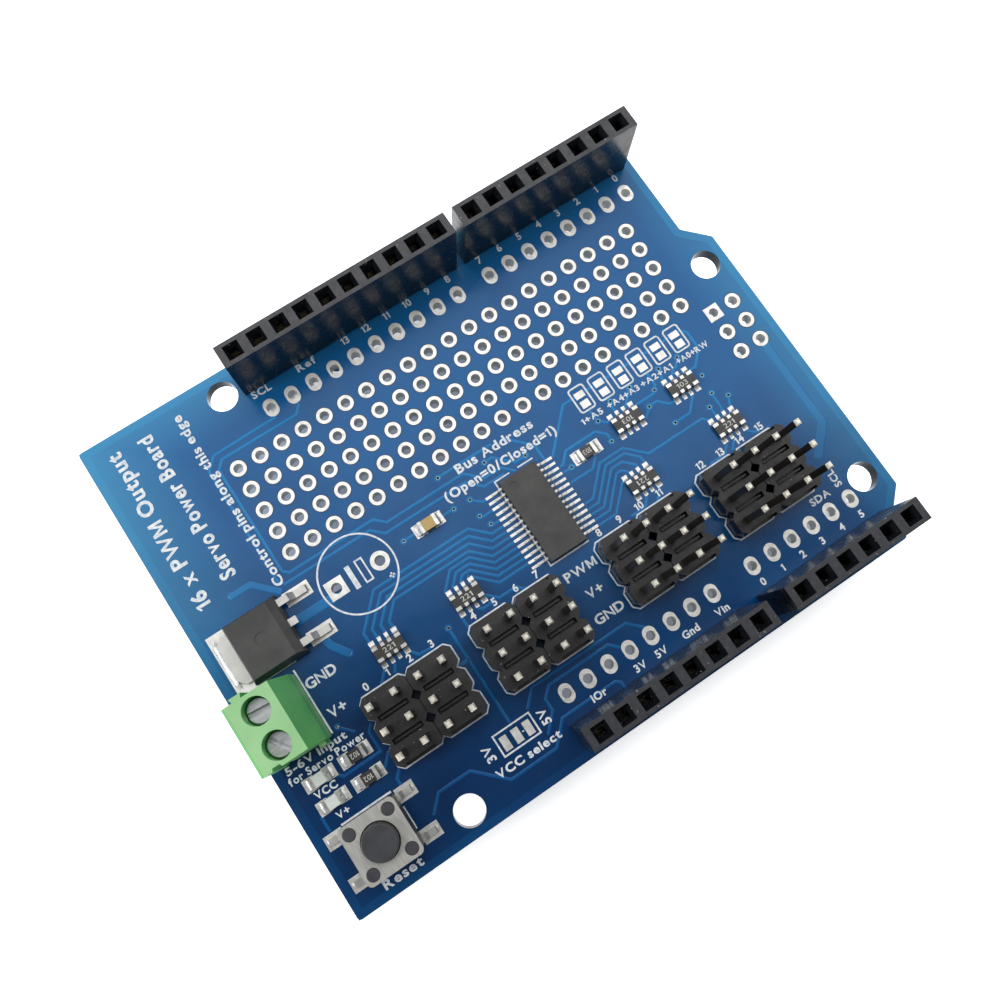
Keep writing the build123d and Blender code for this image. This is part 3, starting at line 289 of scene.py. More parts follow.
def near_points(tree, points, inside, outside):
    """1 within inside of any of the points at rest, falling to 0 at outside, in metres."""
    nearest = None
    for point in points:
        offset = tree.nodes.new("ShaderNodeVectorMath")
        offset.operation = "DISTANCE"
        offset.inputs[1].default_value = point
        tree.links.new(rest_coordinates(tree), offset.inputs[0])
        share = between(tree, offset.outputs["Value"], inside, outside, 1, 0)
        nearest = share if nearest is None else combine(tree, "MAXIMUM", nearest, share)
    return nearest


# ---------------------------------------------------------------- finishes

MASK_GLOSS = 0.25
# Painted shade inside the mounting holes: how far it reaches from each hole's centre, and its dark tone.
HOLE_SHADE_REACH = (0.0022, 0.0024)
HOLE_WALL_SHADE = (0.05, 0.07, 0.08)
# Painted sheen: the pale tone near the board's edges, and the way the mask grows paler across it.
EDGE_SHEEN_TONE = (0.05, 0.31, 0.56)
SHEEN_DIRECTION = (0.35, 0.8, 0)


def mask_colour(tree, deep, pale):
    """Solder mask, cloudy where it is thicker, with a painted sheen that grows paler towards the far side and
    edges.
    """
    # Painted sheen: the mask grows paler towards the far side of the board and a little to the right.
    slant = tree.nodes.new("ShaderNodeVectorMath")
    slant.operation = "DOT_PRODUCT"
    slant.inputs[1].default_value = SHEEN_DIRECTION
    tree.links.new(rest_coordinates(tree), slant.inputs[0])
    rise = between(tree, slant.outputs["Value"], -21 * MM, 8 * MM, 0, 1)
    cloud = between(tree, noise(tree, 0.12, 3), 0.35, 0.65, -0.12, 0.12)
    tone = mixed(tree, combine(tree, "ADD", rise, cloud), deep, pale)
    half_length, half_width = BOARD_LENGTH / 2, BOARD_WIDTH / 2
    # Painted sheen: paler again near the left, right and far edges, where the sheen across the board is strong.
    left_sheen = combine(tree, "MULTIPLY", along_axis(tree, "X", 9 - half_length, -half_length), 0.75)
    right_sheen = combine(tree, "MULTIPLY", along_axis(tree, "X", half_length - 6, half_length), 0.5)
    far_sheen = combine(tree, "MULTIPLY", along_axis(tree, "Y", half_width - 6, half_width), 0.6)
    edges = combine(tree, "MAXIMUM", combine(tree, "MAXIMUM", left_sheen, right_sheen), far_sheen)
    return mixed(tree, combine(tree, "MULTIPLY", edges, rise), tone, EDGE_SHEEN_TONE)


def mask_surface(tree, shader):
    """Gloss of cured mask: weave of the glass cloth, fine orange peel and faint handling marks."""
    place_now = rest_coordinates(tree)
    warp = noise(tree, 0.9, 2, stretched(tree, place_now, (1, 0.15, 1)))
    weft = noise(tree, 0.9, 2, stretched(tree, place_now, (0.15, 1, 1)))
    peel = noise(tree, 3.0, 3)
    weave = combine(tree, "ADD", combine(tree, "MULTIPLY", warp, weft), combine(tree, "MULTIPLY", peel, 0.25))
    bump(tree, shader, weave, 0.012, 0.5)
    marks = between(tree, noise(tree, 0.35, 6), 0.35, 0.75, 0.16, 0.3)
    tree.links.new(marks, shader.inputs["Roughness"])


def board_finish():
    made, tree, shader = material("board_finish", (0.01, 0.07, 0.3), 0.3, specular=MASK_GLOSS)
    mask = mask_colour(tree, (0.0015, 0.03, 0.112), (0.003, 0.108, 0.315))
    fibre = noise(tree, 1.2, 5, stretched(tree, rest_coordinates(tree), (0.2, 0.2, 6)))
    laminate = mixed(tree, between(tree, fibre, 0.35, 0.7, 0, 1), (0.28, 0.31, 0.27), (0.46, 0.47, 0.38))
    # Painted shade: the laminate walls of the mounting holes are darkened.
    hole_wall_shade = near_points(tree, [mount["pos_m"] for mount in MOUNTING_HOLES], *HOLE_SHADE_REACH)
    laminate = mixed(tree, hole_wall_shade, laminate, HOLE_WALL_SHADE)
    up_or_down = combine(tree, "ABSOLUTE", facing_up(tree)[1], 0)
    is_face = between(tree, up_or_down, 0.5, 0.7, 0, 1)
    tree.links.new(mixed(tree, is_face, laminate, mask), shader.inputs["Base Color"])
    mask_surface(tree, shader)
    return made


def bare_mask_finish(name, deep, pale):
    """Mask straight over the laminate, which shows brighter through it."""
    made, tree, shader = material(name, pale, 0.3, specular=MASK_GLOSS)
    # The mask's colour carries the painted sheen across the board and near its edges.
    tree.links.new(mask_colour(tree, deep, pale), shader.inputs["Base Color"])
    mask_surface(tree, shader)
    return made


def legend_finish():
    made, tree, shader = material("legend_ink", (0.82, 0.85, 0.86), 0.5)
    worn = between(tree, noise(tree, 2.5, 5), 0.3, 0.62, 0, 1)
    tree.links.new(mixed(tree, worn, (0.55, 0.62, 0.7), (0.88, 0.9, 0.9)), shader.inputs["Base Color"])
    bump(tree, shader, noise(tree, 6, 3), 0.01, 0.6)
    return made


def marking_finish():
    made, tree, shader = material("marking_ink", (0.55, 0.54, 0.5), 0.6)
    worn = between(tree, noise(tree, 6, 4), 0.35, 0.65, 0, 1)
    tree.links.new(mixed(tree, worn, (0.35, 0.34, 0.32), (0.72, 0.71, 0.67)), shader.inputs["Base Color"])
    return made


def metal_finish(name, dark, light, roughness, grain=1.5, depth=0.02):
    """Tinned or plated metal with cloudy tone, uneven gloss and soft ripples."""
    made, tree, shader = material(name, light, roughness, metallic=0.85)
    cloud = between(tree, noise(tree, grain, 5), 0.3, 0.7, 0, 1)
    tree.links.new(mixed(tree, cloud, dark, light), shader.inputs["Base Color"])
    gloss = between(tree, noise(tree, grain * 1.7, 4), 0.3, 0.7, roughness - 0.08, roughness + 0.12)
    tree.links.new(gloss, shader.inputs["Roughness"])
    bump(tree, shader, noise(tree, grain * 1.4, 3), depth, 0.6)
    return made


def plating_finish():
    """Tinned lands, clouded where the tin is thin, with dull barrels inside the holes."""
    made, tree, shader = material("plating_finish", (0.8, 0.79, 0.76), 0.4, metallic=0.75)
    cloud = between(tree, noise(tree, 1.2, 5), 0.3, 0.7, 0, 1)
    land = mixed(tree, cloud, (0.62, 0.61, 0.58), (0.82, 0.81, 0.78))
    flat = between(tree, combine(tree, "ABSOLUTE", facing_up(tree)[1], 0), 0.5, 0.7, 0, 1)
    tree.links.new(mixed(tree, flat, (0.66, 0.66, 0.62), land), shader.inputs["Base Color"])
    tree.links.new(between(tree, noise(tree, 2.0, 4), 0.3, 0.7, 0.32, 0.52), shader.inputs["Roughness"])
    bump(tree, shader, noise(tree, 1.7, 3), 0.02, 0.6)
    return made


def pin_finish():
    """Pins painted near black along their length as a painted reflection of dark surroundings, with bright creamy
    cut ends.
    """
    made, tree, shader = material("pin_finish", (0.05, 0.045, 0.04), 0.3, metallic=0.35)
    top = facing_up(tree, 0.35)[0]
    drawn = noise(tree, 5, 3, stretched(tree, rest_coordinates(tree), (1, 1, 0.06)))
    # Painted reflection: the metal sides are near black, standing in for the dark surroundings they mirror.
    body = mixed(tree, between(tree, drawn, 0.3, 0.7, 0, 1), (0.01, 0.009, 0.008), (0.04, 0.035, 0.03))
    cut = mixed(tree, between(tree, noise(tree, 7, 3), 0.4, 0.6, 0, 1), (0.72, 0.68, 0.56), (0.92, 0.89, 0.78))
    tree.links.new(mixed(tree, top, body, cut), shader.inputs["Base Color"])
    bump(tree, shader, drawn, 0.01, 0.5)
    return made


def header_finish(name, side, top, side_gloss, top_gloss):
    """Black moulding: mirror-like sides, and scuffed ends with dust, painted paler than the sides as painted light
    on the upward faces.
    """
    made, tree, shader = material(name, side, side_gloss)
    is_top = facing_up(tree)[0]
    grain = noise(tree, 2.2, 6)
    # Painted light: the upward faces take a paler copy of the black moulding.
    painted_lit_top = mixed(tree, between(tree, grain, 0.35, 0.7, 0, 1), tuple(0.6 * c for c in top), top)
    tone = mixed(tree, is_top, side, painted_lit_top)
    dust = between(tree, noise(tree, 3.2, 2), 0.71, 0.76, 0, 0.75)
    tone = mixed(tree, dust, tone, (0.45, 0.45, 0.43))
    tree.links.new(tone, shader.inputs["Base Color"])
    scuffs = between(tree, noise(tree, 0.9, 6), 0.4, 0.7, 0, 0.16)
    gloss = combine(tree, "ADD", between(tree, is_top, 0, 1, side_gloss, top_gloss), scuffs)
    tree.links.new(gloss, shader.inputs["Roughness"])
    ripples = noise(tree, 1.0, 3, stretched(tree, rest_coordinates(tree), (0.15, 0.15, 2.5)))
    bump(tree, shader, combine(tree, "ADD", grain, combine(tree, "MULTIPLY", ripples, 2.0)), 0.012, 0.35)
    return made


def package_finish(name, dark, light, roughness):
    """Matt moulded epoxy with the fine texture of the mould."""
    made, tree, shader = material(name, light, roughness)
    grain = noise(tree, 9, 4)
    patch = between(tree, noise(tree, 0.5, 5), 0.35, 0.7, 0, 1)
    tree.links.new(mixed(tree, patch, dark, light), shader.inputs["Base Color"])
    tree.links.new(between(tree, grain, 0.3, 0.7, roughness - 0.08, roughness + 0.1), shader.inputs["Roughness"])
    bump(tree, shader, grain, 0.02, 0.5)
    return made


def terminal_finish():
    """Satin green moulding with a slightly translucent body, and a top painted paler as painted light on the
    upward faces.
    """
    made, tree, shader = material("terminal_finish", (0.2, 0.55, 0.17), 0.4)
    flow = between(tree, noise(tree, 0.28, 4), 0.3, 0.7, 0, 1)
    side = mixed(tree, flow, (0.12, 0.46, 0.125), (0.16, 0.56, 0.16))
    top = mixed(tree, flow, (0.31, 0.6, 0.27), (0.38, 0.69, 0.33))
    # Painted light: the upward faces take the paler green, and the sides take the darker.
    tone = mixed(tree, facing_up(tree, 0.9)[0], side, top)
    tree.links.new(tone, shader.inputs["Base Color"])
    shader.inputs["Subsurface Weight"].default_value = 0.15
    shader.inputs["Subsurface Radius"].default_value = (0.0004, 0.0008, 0.0003)
    grain = noise(tree, 7, 4)
    tree.links.new(between(tree, grain, 0.3, 0.7, 0.32, 0.48), shader.inputs["Roughness"])
    bump(tree, shader, grain, 0.015, 0.35)
    return made


def screw_finish():
    """Zinc-plated steel with turning marks and patches of grime."""
    made, tree, shader = material("screw_finish", (0.6, 0.61, 0.63), 0.34, metallic=0.9)
    scratches = noise(tree, 4, 4, stretched(tree, rest_coordinates(tree), (0.12, 1, 1)))
    grime = between(tree, noise(tree, 1.1, 5), 0.35, 0.7, 0, 1)
    plate = mixed(tree, between(tree, scratches, 0.3, 0.7, 0, 1), (0.42, 0.43, 0.45), (0.72, 0.73, 0.75))
    tree.links.new(mixed(tree, grime, plate, (0.5, 0.5, 0.5)), shader.inputs["Base Color"])
    tree.links.new(between(tree, scratches, 0.3, 0.7, 0.26, 0.46), shader.inputs["Roughness"])
    bump(tree, shader, scratches, 0.02, 0.6)
    return made


def cover_finish():
    """Pressed tinned steel, warm grey and satin."""
    made, tree, shader = material("cover_finish", (0.5, 0.49, 0.46), 0.42, metallic=0.45)
    rolled = noise(tree, 5, 4, stretched(tree, rest_coordinates(tree), (1, 0.1, 1)))
    tree.links.new(
        mixed(tree, between(tree, rolled, 0.3, 0.7, 0, 1), (0.43, 0.42, 0.39), (0.53, 0.52, 0.485)),
        shader.inputs["Base Color"],
    )
    tree.links.new(between(tree, rolled, 0.3, 0.7, 0.36, 0.52), shader.inputs["Roughness"])
    bump(tree, shader, rolled, 0.01, 0.5)
    return made


def ceramic_finish(name, dark, light, roughness):
    made, tree, shader = material(name, light, roughness)
    grain = noise(tree, 5, 5)
    tree.links.new(mixed(tree, between(tree, grain, 0.3, 0.7, 0, 1), dark, light), shader.inputs["Base Color"])
    bump(tree, shader, grain, 0.015, 0.4)
    return made


def lens_finish():
    made, tree, shader = material("lens_finish", (0.9, 0.96, 0.9), 0.12)
    shader.inputs["Transmission Weight"].default_value = 0.15
    shader.inputs["IOR"].default_value = 1.52
    haze = between(tree, noise(tree, 3, 3), 0.3, 0.7, 0, 1)
    tree.links.new(mixed(tree, haze, (0.84, 0.9, 0.84), (0.97, 0.98, 0.95)), shader.inputs["Base Color"])
    return made


FINISHES = {
    "board": board_finish(),
    "plating": plating_finish(),
    "via_copper": metal_finish("via_finish", (0.16, 0.3, 0.36), (0.3, 0.46, 0.5), 0.3, 2.0),
    "solder": metal_finish("solder_finish", (0.5, 0.5, 0.49), (0.7, 0.7, 0.68), 0.34, 0.8, 0.02),
    # Header sides, then tops painted paler as painted light.
    "header_plastic": header_finish(
        "header_finish", (0.006, 0.007, 0.009), (0.04, 0.041, 0.048), 0.2, 0.36
    ),
    "contact_metal": metal_finish("contact_finish", (0.6, 0.55, 0.42), (0.8, 0.75, 0.62), 0.26, 1.5),
    "pin_metal": pin_finish(),
    "package_black": package_finish("package_finish", (0.036, 0.036, 0.035), (0.062, 0.061, 0.058), 0.5),
    "lead_metal": metal_finish("lead_finish", (0.5, 0.49, 0.46), (0.63, 0.62, 0.59), 0.4, 0.5),
    "terminal_green": terminal_finish(),
    "screw_steel": screw_finish(),
    "switch_black": package_finish("switch_finish", (0.035, 0.036, 0.04), (0.055, 0.056, 0.062), 0.42),
    "switch_steel": cover_finish(),
    "resistor_black": package_finish("resistor_finish", (0.02, 0.019, 0.018), (0.042, 0.04, 0.037), 0.36),
    "end_cap_metal": metal_finish("end_cap_finish", (0.5, 0.49, 0.47), (0.72, 0.71, 0.69), 0.3, 1.2),
    "capacitor_tan": ceramic_finish("capacitor_finish", (0.42, 0.29, 0.09), (0.56, 0.4, 0.15), 0.35),
    "light_carrier": ceramic_finish("carrier_finish", (0.78, 0.86, 0.8), (0.92, 0.94, 0.88), 0.4),
    "light_lens": lens_finish(),
    "light_die": ceramic_finish("die_finish", (0.7, 0.6, 0.3), (0.9, 0.82, 0.5), 0.4),
}
# Servo header sides, then tops painted paler as painted light.
SERVO_PLASTIC = header_finish(
    "servo_header_finish", (0.009, 0.0085, 0.0085), (0.024, 0.0215, 0.021), 0.2, 0.36
)
TRACK_FINISH = bare_mask_finish("track_finish", (0.003, 0.085, 0.27), (0.008, 0.22, 0.52))
PLANE_FINISH = bare_mask_finish("plane_finish", (0.002, 0.06, 0.2), (0.005, 0.165, 0.43))
BORDER_FINISH = bare_mask_finish("border_finish", (0.0018, 0.042, 0.145), (0.006, 0.19, 0.44))
# The pad gaps are real. Their near black colour is painted shade.
PAD_GAP_SHADE_FINISH = package_finish("pad_gap_shade_finish", (0.006, 0.02, 0.05), (0.012, 0.035, 0.08), 0.5)
LEGEND_INK = legend_finish()
MARKING_INK = marking_finish()


def dress_nodes():
    """Gives every CAD node the finish of its material slot."""
    slots = {row["node"]: row["material_slot"] for row in frame["record"]["subparts"]}
    for name, node in frame["nodes"].items():
        is_servo_body = name.startswith("servo_header_") and name[-1].isdigit()
        finish = SERVO_PLASTIC if is_servo_body else FINISHES[slots[name]]
        node.data.materials.clear()
        node.data.materials.append(finish)


# ---------------------------------------------------------------- copper

VIAS = [tuple(((low + high) / 2).xy) for low, high in islands("via_barrels")]
VIA_RING_RADIUS, VIA_RING_WIDTH, VIA_RING_SLOPE = 0.31, 0.14, 0.03
VIA_RING = (VIA_RING_RADIUS, VIA_RING_WIDTH, TRACK_LOW, TRACK_HIGH + 0.004, VIA_RING_SLOPE)

# Routes, listed in board millimetres.
CONTROL_TRACKS = [
    [(18.7, 46.0), (11.3, 45.9), (10.1, 44.7), (10.1, 31.3), (10.6, 30.75), (20.4, 30.75),
     (21.6, 29.6), (31.2, 29.6), (32.6, 28.2), (35.0, 28.2)],
    [(21.4, 46.0), (20.6, 45.1), (11.8, 45.1), (11.0, 44.3), (11.0, 32.0), (11.5, 31.5),
     (21.3, 31.5), (22.3, 30.5), (31.5, 30.5), (33.1, 28.9), (35.1, 28.9), (36.2, 27.8)],
    [(29.4, 31.55), (35.6, 31.55)],
    [(34.3, 30.3), (34.9, 30.3), (36.6, 28.6), (37.6, 28.6)],
    [(36.9, 31.4), (39.3, 29.0), (39.3, 27.1)],
    [(30.85, 27.6), (31.55, 26.95), (32.2, 26.95)],
    [(30.7, 25.65), (32.1, 25.65)],
    [(31.2, 24.4), (32.1, 24.4)],
    [(23.0, 27.95), (24.0, 27.95)],
    [(27.3, 27.95), (28.4, 27.95)],
    [(40.2, 26.95), (44.2, 30.95), (59.3, 30.95), (59.85, 30.4), (59.85, 28.3), (58.35, 26.8), (57.4, 26.8)],
    [(40.2, 25.65), (40.6, 25.65), (41.7, 26.75), (45.4, 26.75), (46.3, 25.85), (46.3, 25.4)],
    [(40.2, 24.95), (40.9, 24.95)],
    [(41.5, 24.95), (42.0, 24.95)],
    [(40.2, 23.65), (43.0, 23.65), (44.1, 24.75)],
    [(46.5, 27.35), (47.1, 26.8)],
    [(50.6, 26.8), (53.0, 26.8)],
    [(50.6, 25.0), (51.5, 25.7)],
    [(52.05, 25.95), (52.7, 25.95), (53.7, 24.95), (54.2, 24.95)],
    [(53.3, 23.0), (54.9, 23.0), (56.2, 24.3), (56.2, 24.7)],
    [(57.05, 21.1), (57.05, 22.1)],
    [(57.9, 21.1), (58.05, 21.8), (58.05, 23.2)],
    [(58.9, 21.3), (59.3, 22.1)],
    [(46.2, 29.1), (46.2, 27.85)],
    [(48.4, 28.3), (48.4, 27.2)],
    [(50.9, 28.5), (50.0, 27.6), (49.5, 27.2)],
    [(53.6, 29.1), (53.6, 27.5), (53.4, 27.3)],
    [(54.8, 28.4), (54.5, 27.3)],
    [(57.1, 28.45), (56.6, 27.9), (56.2, 27.9), (55.5, 27.2)],
    [(14.3, 18.2), (13.2, 17.1)],
    [(15.5, 18.2), (15.0, 17.4)],
    [(17.4, 18.3), (17.9, 17.6), (19.2, 17.5)],
    [(23.4, 18.3), (23.4, 17.2)],
    [(25.2, 18.3), (25.6, 17.9), (27.2, 17.9)],
    [(26.5, 19.0), (27.6, 17.9), (29.6, 17.9), (30.4, 17.1)],
    [(47.7, 18.3), (46.5, 17.1)],
    [(46.0, 18.2), (45.2, 17.4), (43.4, 17.4)],
    [(56.2, 18.2), (55.4, 17.4), (53.6, 17.4), (53.3, 17.1)],
    [(57.2, 18.2), (56.3, 17.3)],
    [(58.8, 18.2), (59.4, 17.6), (60.2, 17.6)],
    [(21.7, 17.9), (21.7, 7.2)],
    [(7.8, 15.9), (8.8, 14.8)],
    [(10.5, 14.65), (9.9, 14.05), (9.9, 11.9), (5.7, 11.9), (5.0, 12.6)],
    [(10.5, 11.45), (9.4, 10.35)],
    [(10.5, 9.55), (9.8, 8.85), (9.8, 8.2)],
    [(1.97, 9.9), (1.97, 8.3)],
    [(10.9, 4.1), (12.4, 5.6), (16.0, 5.6), (18.9, 2.7), (24.2, 2.7), (26.25, 4.75), (32.6, 4.75), (33.05, 4.3),
     (33.05, 3.8)],
    [(23.9, 7.35), (25.4, 8.85), (36.7, 8.85), (38.1, 7.45)],
    [(24.2, 4.2), (25.85, 5.85), (25.85, 7.1), (26.9, 8.1), (34.0, 8.1), (34.9, 7.2)],
]
POWER_TRACKS = [
    ([(5.4, 32.58), (7.7, 32.58), (9.9, 30.3)], 0.65),
    ([(9.6, 26.98), (13.9, 26.98)], 1.0),
    ([(11.0, 23.9), (11.2, 23.1), (12.35, 21.4)], 0.8),
    ([(21.7, 14.5), (20.6, 14.5)], 0.4),
]
EDGE_PLANE = ([(66.05, 24.9), (66.05, 14.6), (63.3, 11.7)], 0.95)
CHIP_LEAD_PITCH = 0.65
UNDER_TRACKS = [
    ([(29.05, 31.55), (29.05, 46.0), (26.4, 47.6)], 0.26),
    ([(33.95, 30.3), (33.95, 34.6), (32.2, 36.4), (32.2, 45.2), (31.5, 46.6)], 0.26),
    ([(46.3, 27.55), (44.4, 29.4), (44.4, 32.0), (44.4, 46.4), (45.6, 47.4)], 0.26),
    ([(51.15, 28.75), (49.6, 30.3), (49.6, 44.9), (50.8, 46.3)], 0.26),
    ([(54.9, 28.7), (54.7, 44.9), (55.88, 46.3)], 0.26),
    ([(7.6, 16.15), (7.6, 13.2), (11.9, 13.2), (62.0, 13.2)], 1.3),
    ([(11.9, 10.67), (62.0, 10.67)], 1.3),
    ([(21.7, 18.2), (26.6, 18.2), (30.0, 21.6), (38.0, 21.6), (41.2, 24.95)], 0.3),
    ([(5.4, 32.58), (9.0, 28.9), (12.35, 25.6), (12.35, 21.4)], 0.9),
    ([(14.6, 27.6), (14.6, 24.0), (11.4, 20.9), (4.6, 20.9)], 1.4),
    ([(53.0, 23.0), (51.2, 21.2), (51.2, 8.6), (50.8, 7.2)], 0.26),
    ([(57.05, 22.4), (57.05, 19.6), (49.8, 19.6), (47.0, 16.8), (47.0, 8.4), (45.8, 7.2)], 0.26),
    ([(58.05, 23.5), (61.6, 20.0), (61.6, 8.6), (61.0, 7.2)], 0.26),
    ([(59.45, 22.35), (64.0, 17.8), (64.0, 8.4)], 0.26),
    ([(66.04, 28.11), (67.4, 26.7), (67.4, 10.9), (64.5, 8.0)], 0.4),
]


def chip_bundles():
    """The two fans of parallel tracks between the driver chip and the resistor networks."""
    routes = []
    for step in range(4):
        lane = 25.45 - CHIP_LEAD_PITCH * step
        exit_x = 28.8 - 0.4 * step
        lead = 23.7 - CHIP_LEAD_PITCH * step
        column = 14.45 + 0.92 * step
        routes.append([
            (column, 21.2), (column, 22.3 - 0.12 * step), (column + lane - 22.3 + 0.12 * step, lane),
            (exit_x, lane), (exit_x + lane - lead, lead), (32.15, lead),
        ])
    for step in range(4):
        lane = 22.95 - 0.55 * step
        exit_x = 27.3 - 0.33 * step
        lead = 21.1 - CHIP_LEAD_PITCH * step
        column = 23.4 + 0.92 * step
        routes.append([
            (column, 21.2), (column, 21.35), (column + lane - 21.35, lane),
            (exit_x, lane), (exit_x + lane - lead, lead), (32.15, lead),
        ])
    turns = [
        (23.75, 46.8, 48.75, 21.8),
        (23.2, 46.6, 47.8, 22.0),
        (22.6, 45.9, 46.9, 21.6),
        (21.9, 45.3, 45.9, 21.3),
    ]
    for step, (lane, leave, column, meet) in enumerate(turns):
        lead = 21.05 - CHIP_LEAD_PITCH * step
        start = 41.2 + 0.25 * step
        route = [(40.15, lead), (start, lead), (start + lane - lead, lane), (leave, lane), (column, meet)]
        if step == 0:
            route += [(55.6, 21.8), (56.1, 21.3)]
        else:
            route += [(column, 21.1)]
        routes.append(route)
    lead = 21.05 - CHIP_LEAD_PITCH * 4
    routes.append([(40.15, lead), (42.3, lead), (44.8, 20.9)])
    return routes


def make_tracks():
    top = Shape()
    for route in CONTROL_TRACKS + chip_bundles():
        ribbon(top, route, TRACK_WIDTH, TRACK_LOW, TRACK_HIGH, TRACK_SLOPE)
    for centre in VIAS:
        ring(top, centre, *VIA_RING)
    for route, width in POWER_TRACKS:
        ribbon(top, route, width, TRACK_LOW, TRACK_HIGH, TRACK_SLOPE)
    top.piece("tracks_top", TRACK_FINISH)
    plane = Shape()
    ribbon(plane, *EDGE_PLANE, TRACK_LOW, TRACK_HIGH, TRACK_SLOPE)
    plane.piece("edge_plane_top", PLANE_FINISH)
    below = Shape()
    for route, width in UNDER_TRACKS:
        ribbon(below, route, width, TRACK_LOW, TRACK_HIGH, TRACK_SLOPE)
    for centre in VIAS:
        ring(below, centre, *VIA_RING)
    below.piece("tracks_below", TRACK_FINISH, under=True)


def make_pad_gaps():
    """The moat of bare laminate between each round land and the mask, coloured near black as painted shade in the
    gap.
    """
    gaps = Shape()
    for node in ("prototyping_pads", "icsp_pads", "header_pads"):
        for low, high in islands(node):
            middle = ((low + high) / 2).xy
            ring(gaps, middle, (high.x - low.x) / 2 + GAP_WIDTH / 2, GAP_WIDTH, BORDER_LOW, GAP_TOP)
    gaps.piece("pad_gaps", PAD_GAP_SHADE_FINISH)


def board_outline(inset):
    """The board's outline, drawn in by inset."""
    slant = inset * (math.sqrt(2) - 1)
    left, right = inset, BOARD_LENGTH - inset
    notch = BOARD_LENGTH - PITCH - inset
    lower, upper = inset, BOARD_WIDTH - inset
    return [
        (left, lower), (notch, lower), (notch, LOWER_SLANT[0] + slant), (right, LOWER_SLANT[1] + slant),
        (right, UPPER_SLANT[0] - slant), (notch, UPPER_SLANT[1] - slant), (notch, CLIPPED_CORNER_Y - slant),
        (CLIPPED_CORNER_X - slant, upper), (left, upper),
    ]


def make_borders():
    """The rim where the copper stops short of the board's edge."""
    for name, under in (("rim_top", False), ("rim_below", True)):
        rim = Shape()
        border_path = board_outline(BORDER_INSET + BORDER_WIDTH / 2)
        ribbon(rim, border_path, BORDER_WIDTH, BORDER_LOW, BORDER_HIGH, closed=True)
        rim.piece(name, BORDER_FINISH, under=under)


# ---------------------------------------------------------------- printed legend

def row_labels(words, start, y):
    return [(word, start + PITCH * index, y, 0.75, None, 0) for index, word in words]


def legend_words():
    """Text, centre x, centre y, capital height, width or None, turn in degrees."""
    words = [("SCL", 18.85, 49.17, 0.75, 2.2, 0), ("Ref", 24.2, 49.17, 0.75, 2.2, 0)]
    words += row_labels([(index, str(17 - index)) for index in range(4, 10)], HIGH_ROW_START, 49.17)
    words += row_labels([(index, str(7 - index)) for index in range(8)], LOW_ROW_START, 49.17)
    words += row_labels([(index, str(index)) for index in range(6)], ANALOG_ROW_START, 4.6)
    for name, x in (("IOr", 30.5), ("3V", 35.5), ("5V", 38.05), ("Gnd", 41.7), ("Vin", 45.6)):
        words.append((name, x, 4.6, 0.75, None, 0))
    for first, x in ((0, 11.9), (4, 24.4), (8, 39.65), (12, 52.5)):
        words += [(str(first + index), x + 2.52 * index, 17.87, 0.75, None, 0) for index in range(4)]
    words += [
        ("PWM", 35.95, 15.8, 0.95, 3.7, 0), ("V+", 35.95, 13.25, 0.95, 1.85, 0),
        ("GND", 35.95, 10.65, 0.95, 3.4, 0),
        ("GND", 8.8, 21.15, 1.0, 3.35, 0), ("V+", 8.5, 17.6, 1.0, 1.9, 0),
        ("5-6V Input", 4.6, 15.2, 0.75, 6.7, 0), ("for Servo Power", 5.2, 14.2, 0.72, 8.4, 0),
        ("VCC", 3.63, 11.8, 0.72, 2.4, 0), ("V+", 3.9, 9.13, 0.68, 1.4, 0), ("Reset", 5.7, 1.35, 0.85, 4.3, 0),
        ("VCC select", 21.6, 3.75, 0.8, 7.4, 0), ("3V", 18.35, 5.87, 0.9, 1.6, 90),
        ("5V", 24.8, 5.87, 0.9, 1.6, 90),
        ("SDA", 60.9, 8.3, 0.75, 2.4, 0), ("SCL", 63.4, 9.1, 0.75, 1.9, 90),
        ("Bus Address", 35.7, 31.2, 0.95, 9.3, 0), ("(Open=0/Closed=1)", 35.3, 29.35, 0.95, 13.5, 0),
        ("16 x PWM Output", 2.87, 42.2, 1.5, 18.5, 90), ("Servo Power Board", 6.37, 42.8, 1.5, 17.0, 90),
        ("Control pins along this edge", 10.15, 41.2, 0.95, 20.6, 90),
    ]
    for word, x in (("1+A5", 46.05), ("+A4+A3", 50.0), ("+A2+A1", 54.3), ("+A0+RW", 58.95)):
        words.append((word, x, 28.28, 0.62, 2.6 if len(word) == 4 else 4.0, 0))
    return words


LETTER_GAP = 0.13
WORD_GAP = 0.42
POINTED_LETTERS = "ANVWXvwxy"
DRAWN_LETTERS = {
    "1": [(0, 0.7), (0.18, 0.8), (0.18, 0), (0.4, 0), (0.4, 1), (0.24, 1), (0.13, 0.9), (0, 0.85)],
    "M": [(0, 0), (0.2, 0), (0.2, 0.62), (0.43, 0.08), (0.57, 0.08), (0.8, 0.62),
          (0.8, 0), (1, 0), (1, 1), (0.78, 1),
          (0.5, 0.36), (0.22, 1), (0, 1)],
}


def built_in_letter(character, weight):
    """Mesh data of one extruded character of the built-in font, at size 1."""
    curve = bpy.data.curves.new("letter", "FONT")
    curve.body = character
    curve.offset = weight / 2 if character in POINTED_LETTERS else weight
    curve.extrude = 0.5
    curve.resolution_u = 3
    made = bpy.data.objects.new("letter", curve)
    bpy.context.scene.collection.objects.link(made)
    mesh = bpy.data.meshes.new_from_object(made.evaluated_get(bpy.context.evaluated_depsgraph_get()))
    points = [(vertex.co.x, vertex.co.y, vertex.co.z > 0) for vertex in mesh.vertices]
    faces = [tuple(face.vertices) for face in mesh.polygons]
    bpy.data.objects.remove(made)
    bpy.data.meshes.remove(mesh)
    bpy.data.curves.remove(curve)
    return points, faces


CAPITAL_SIZE = max(point[1] for point in built_in_letter("H", 0)[0])


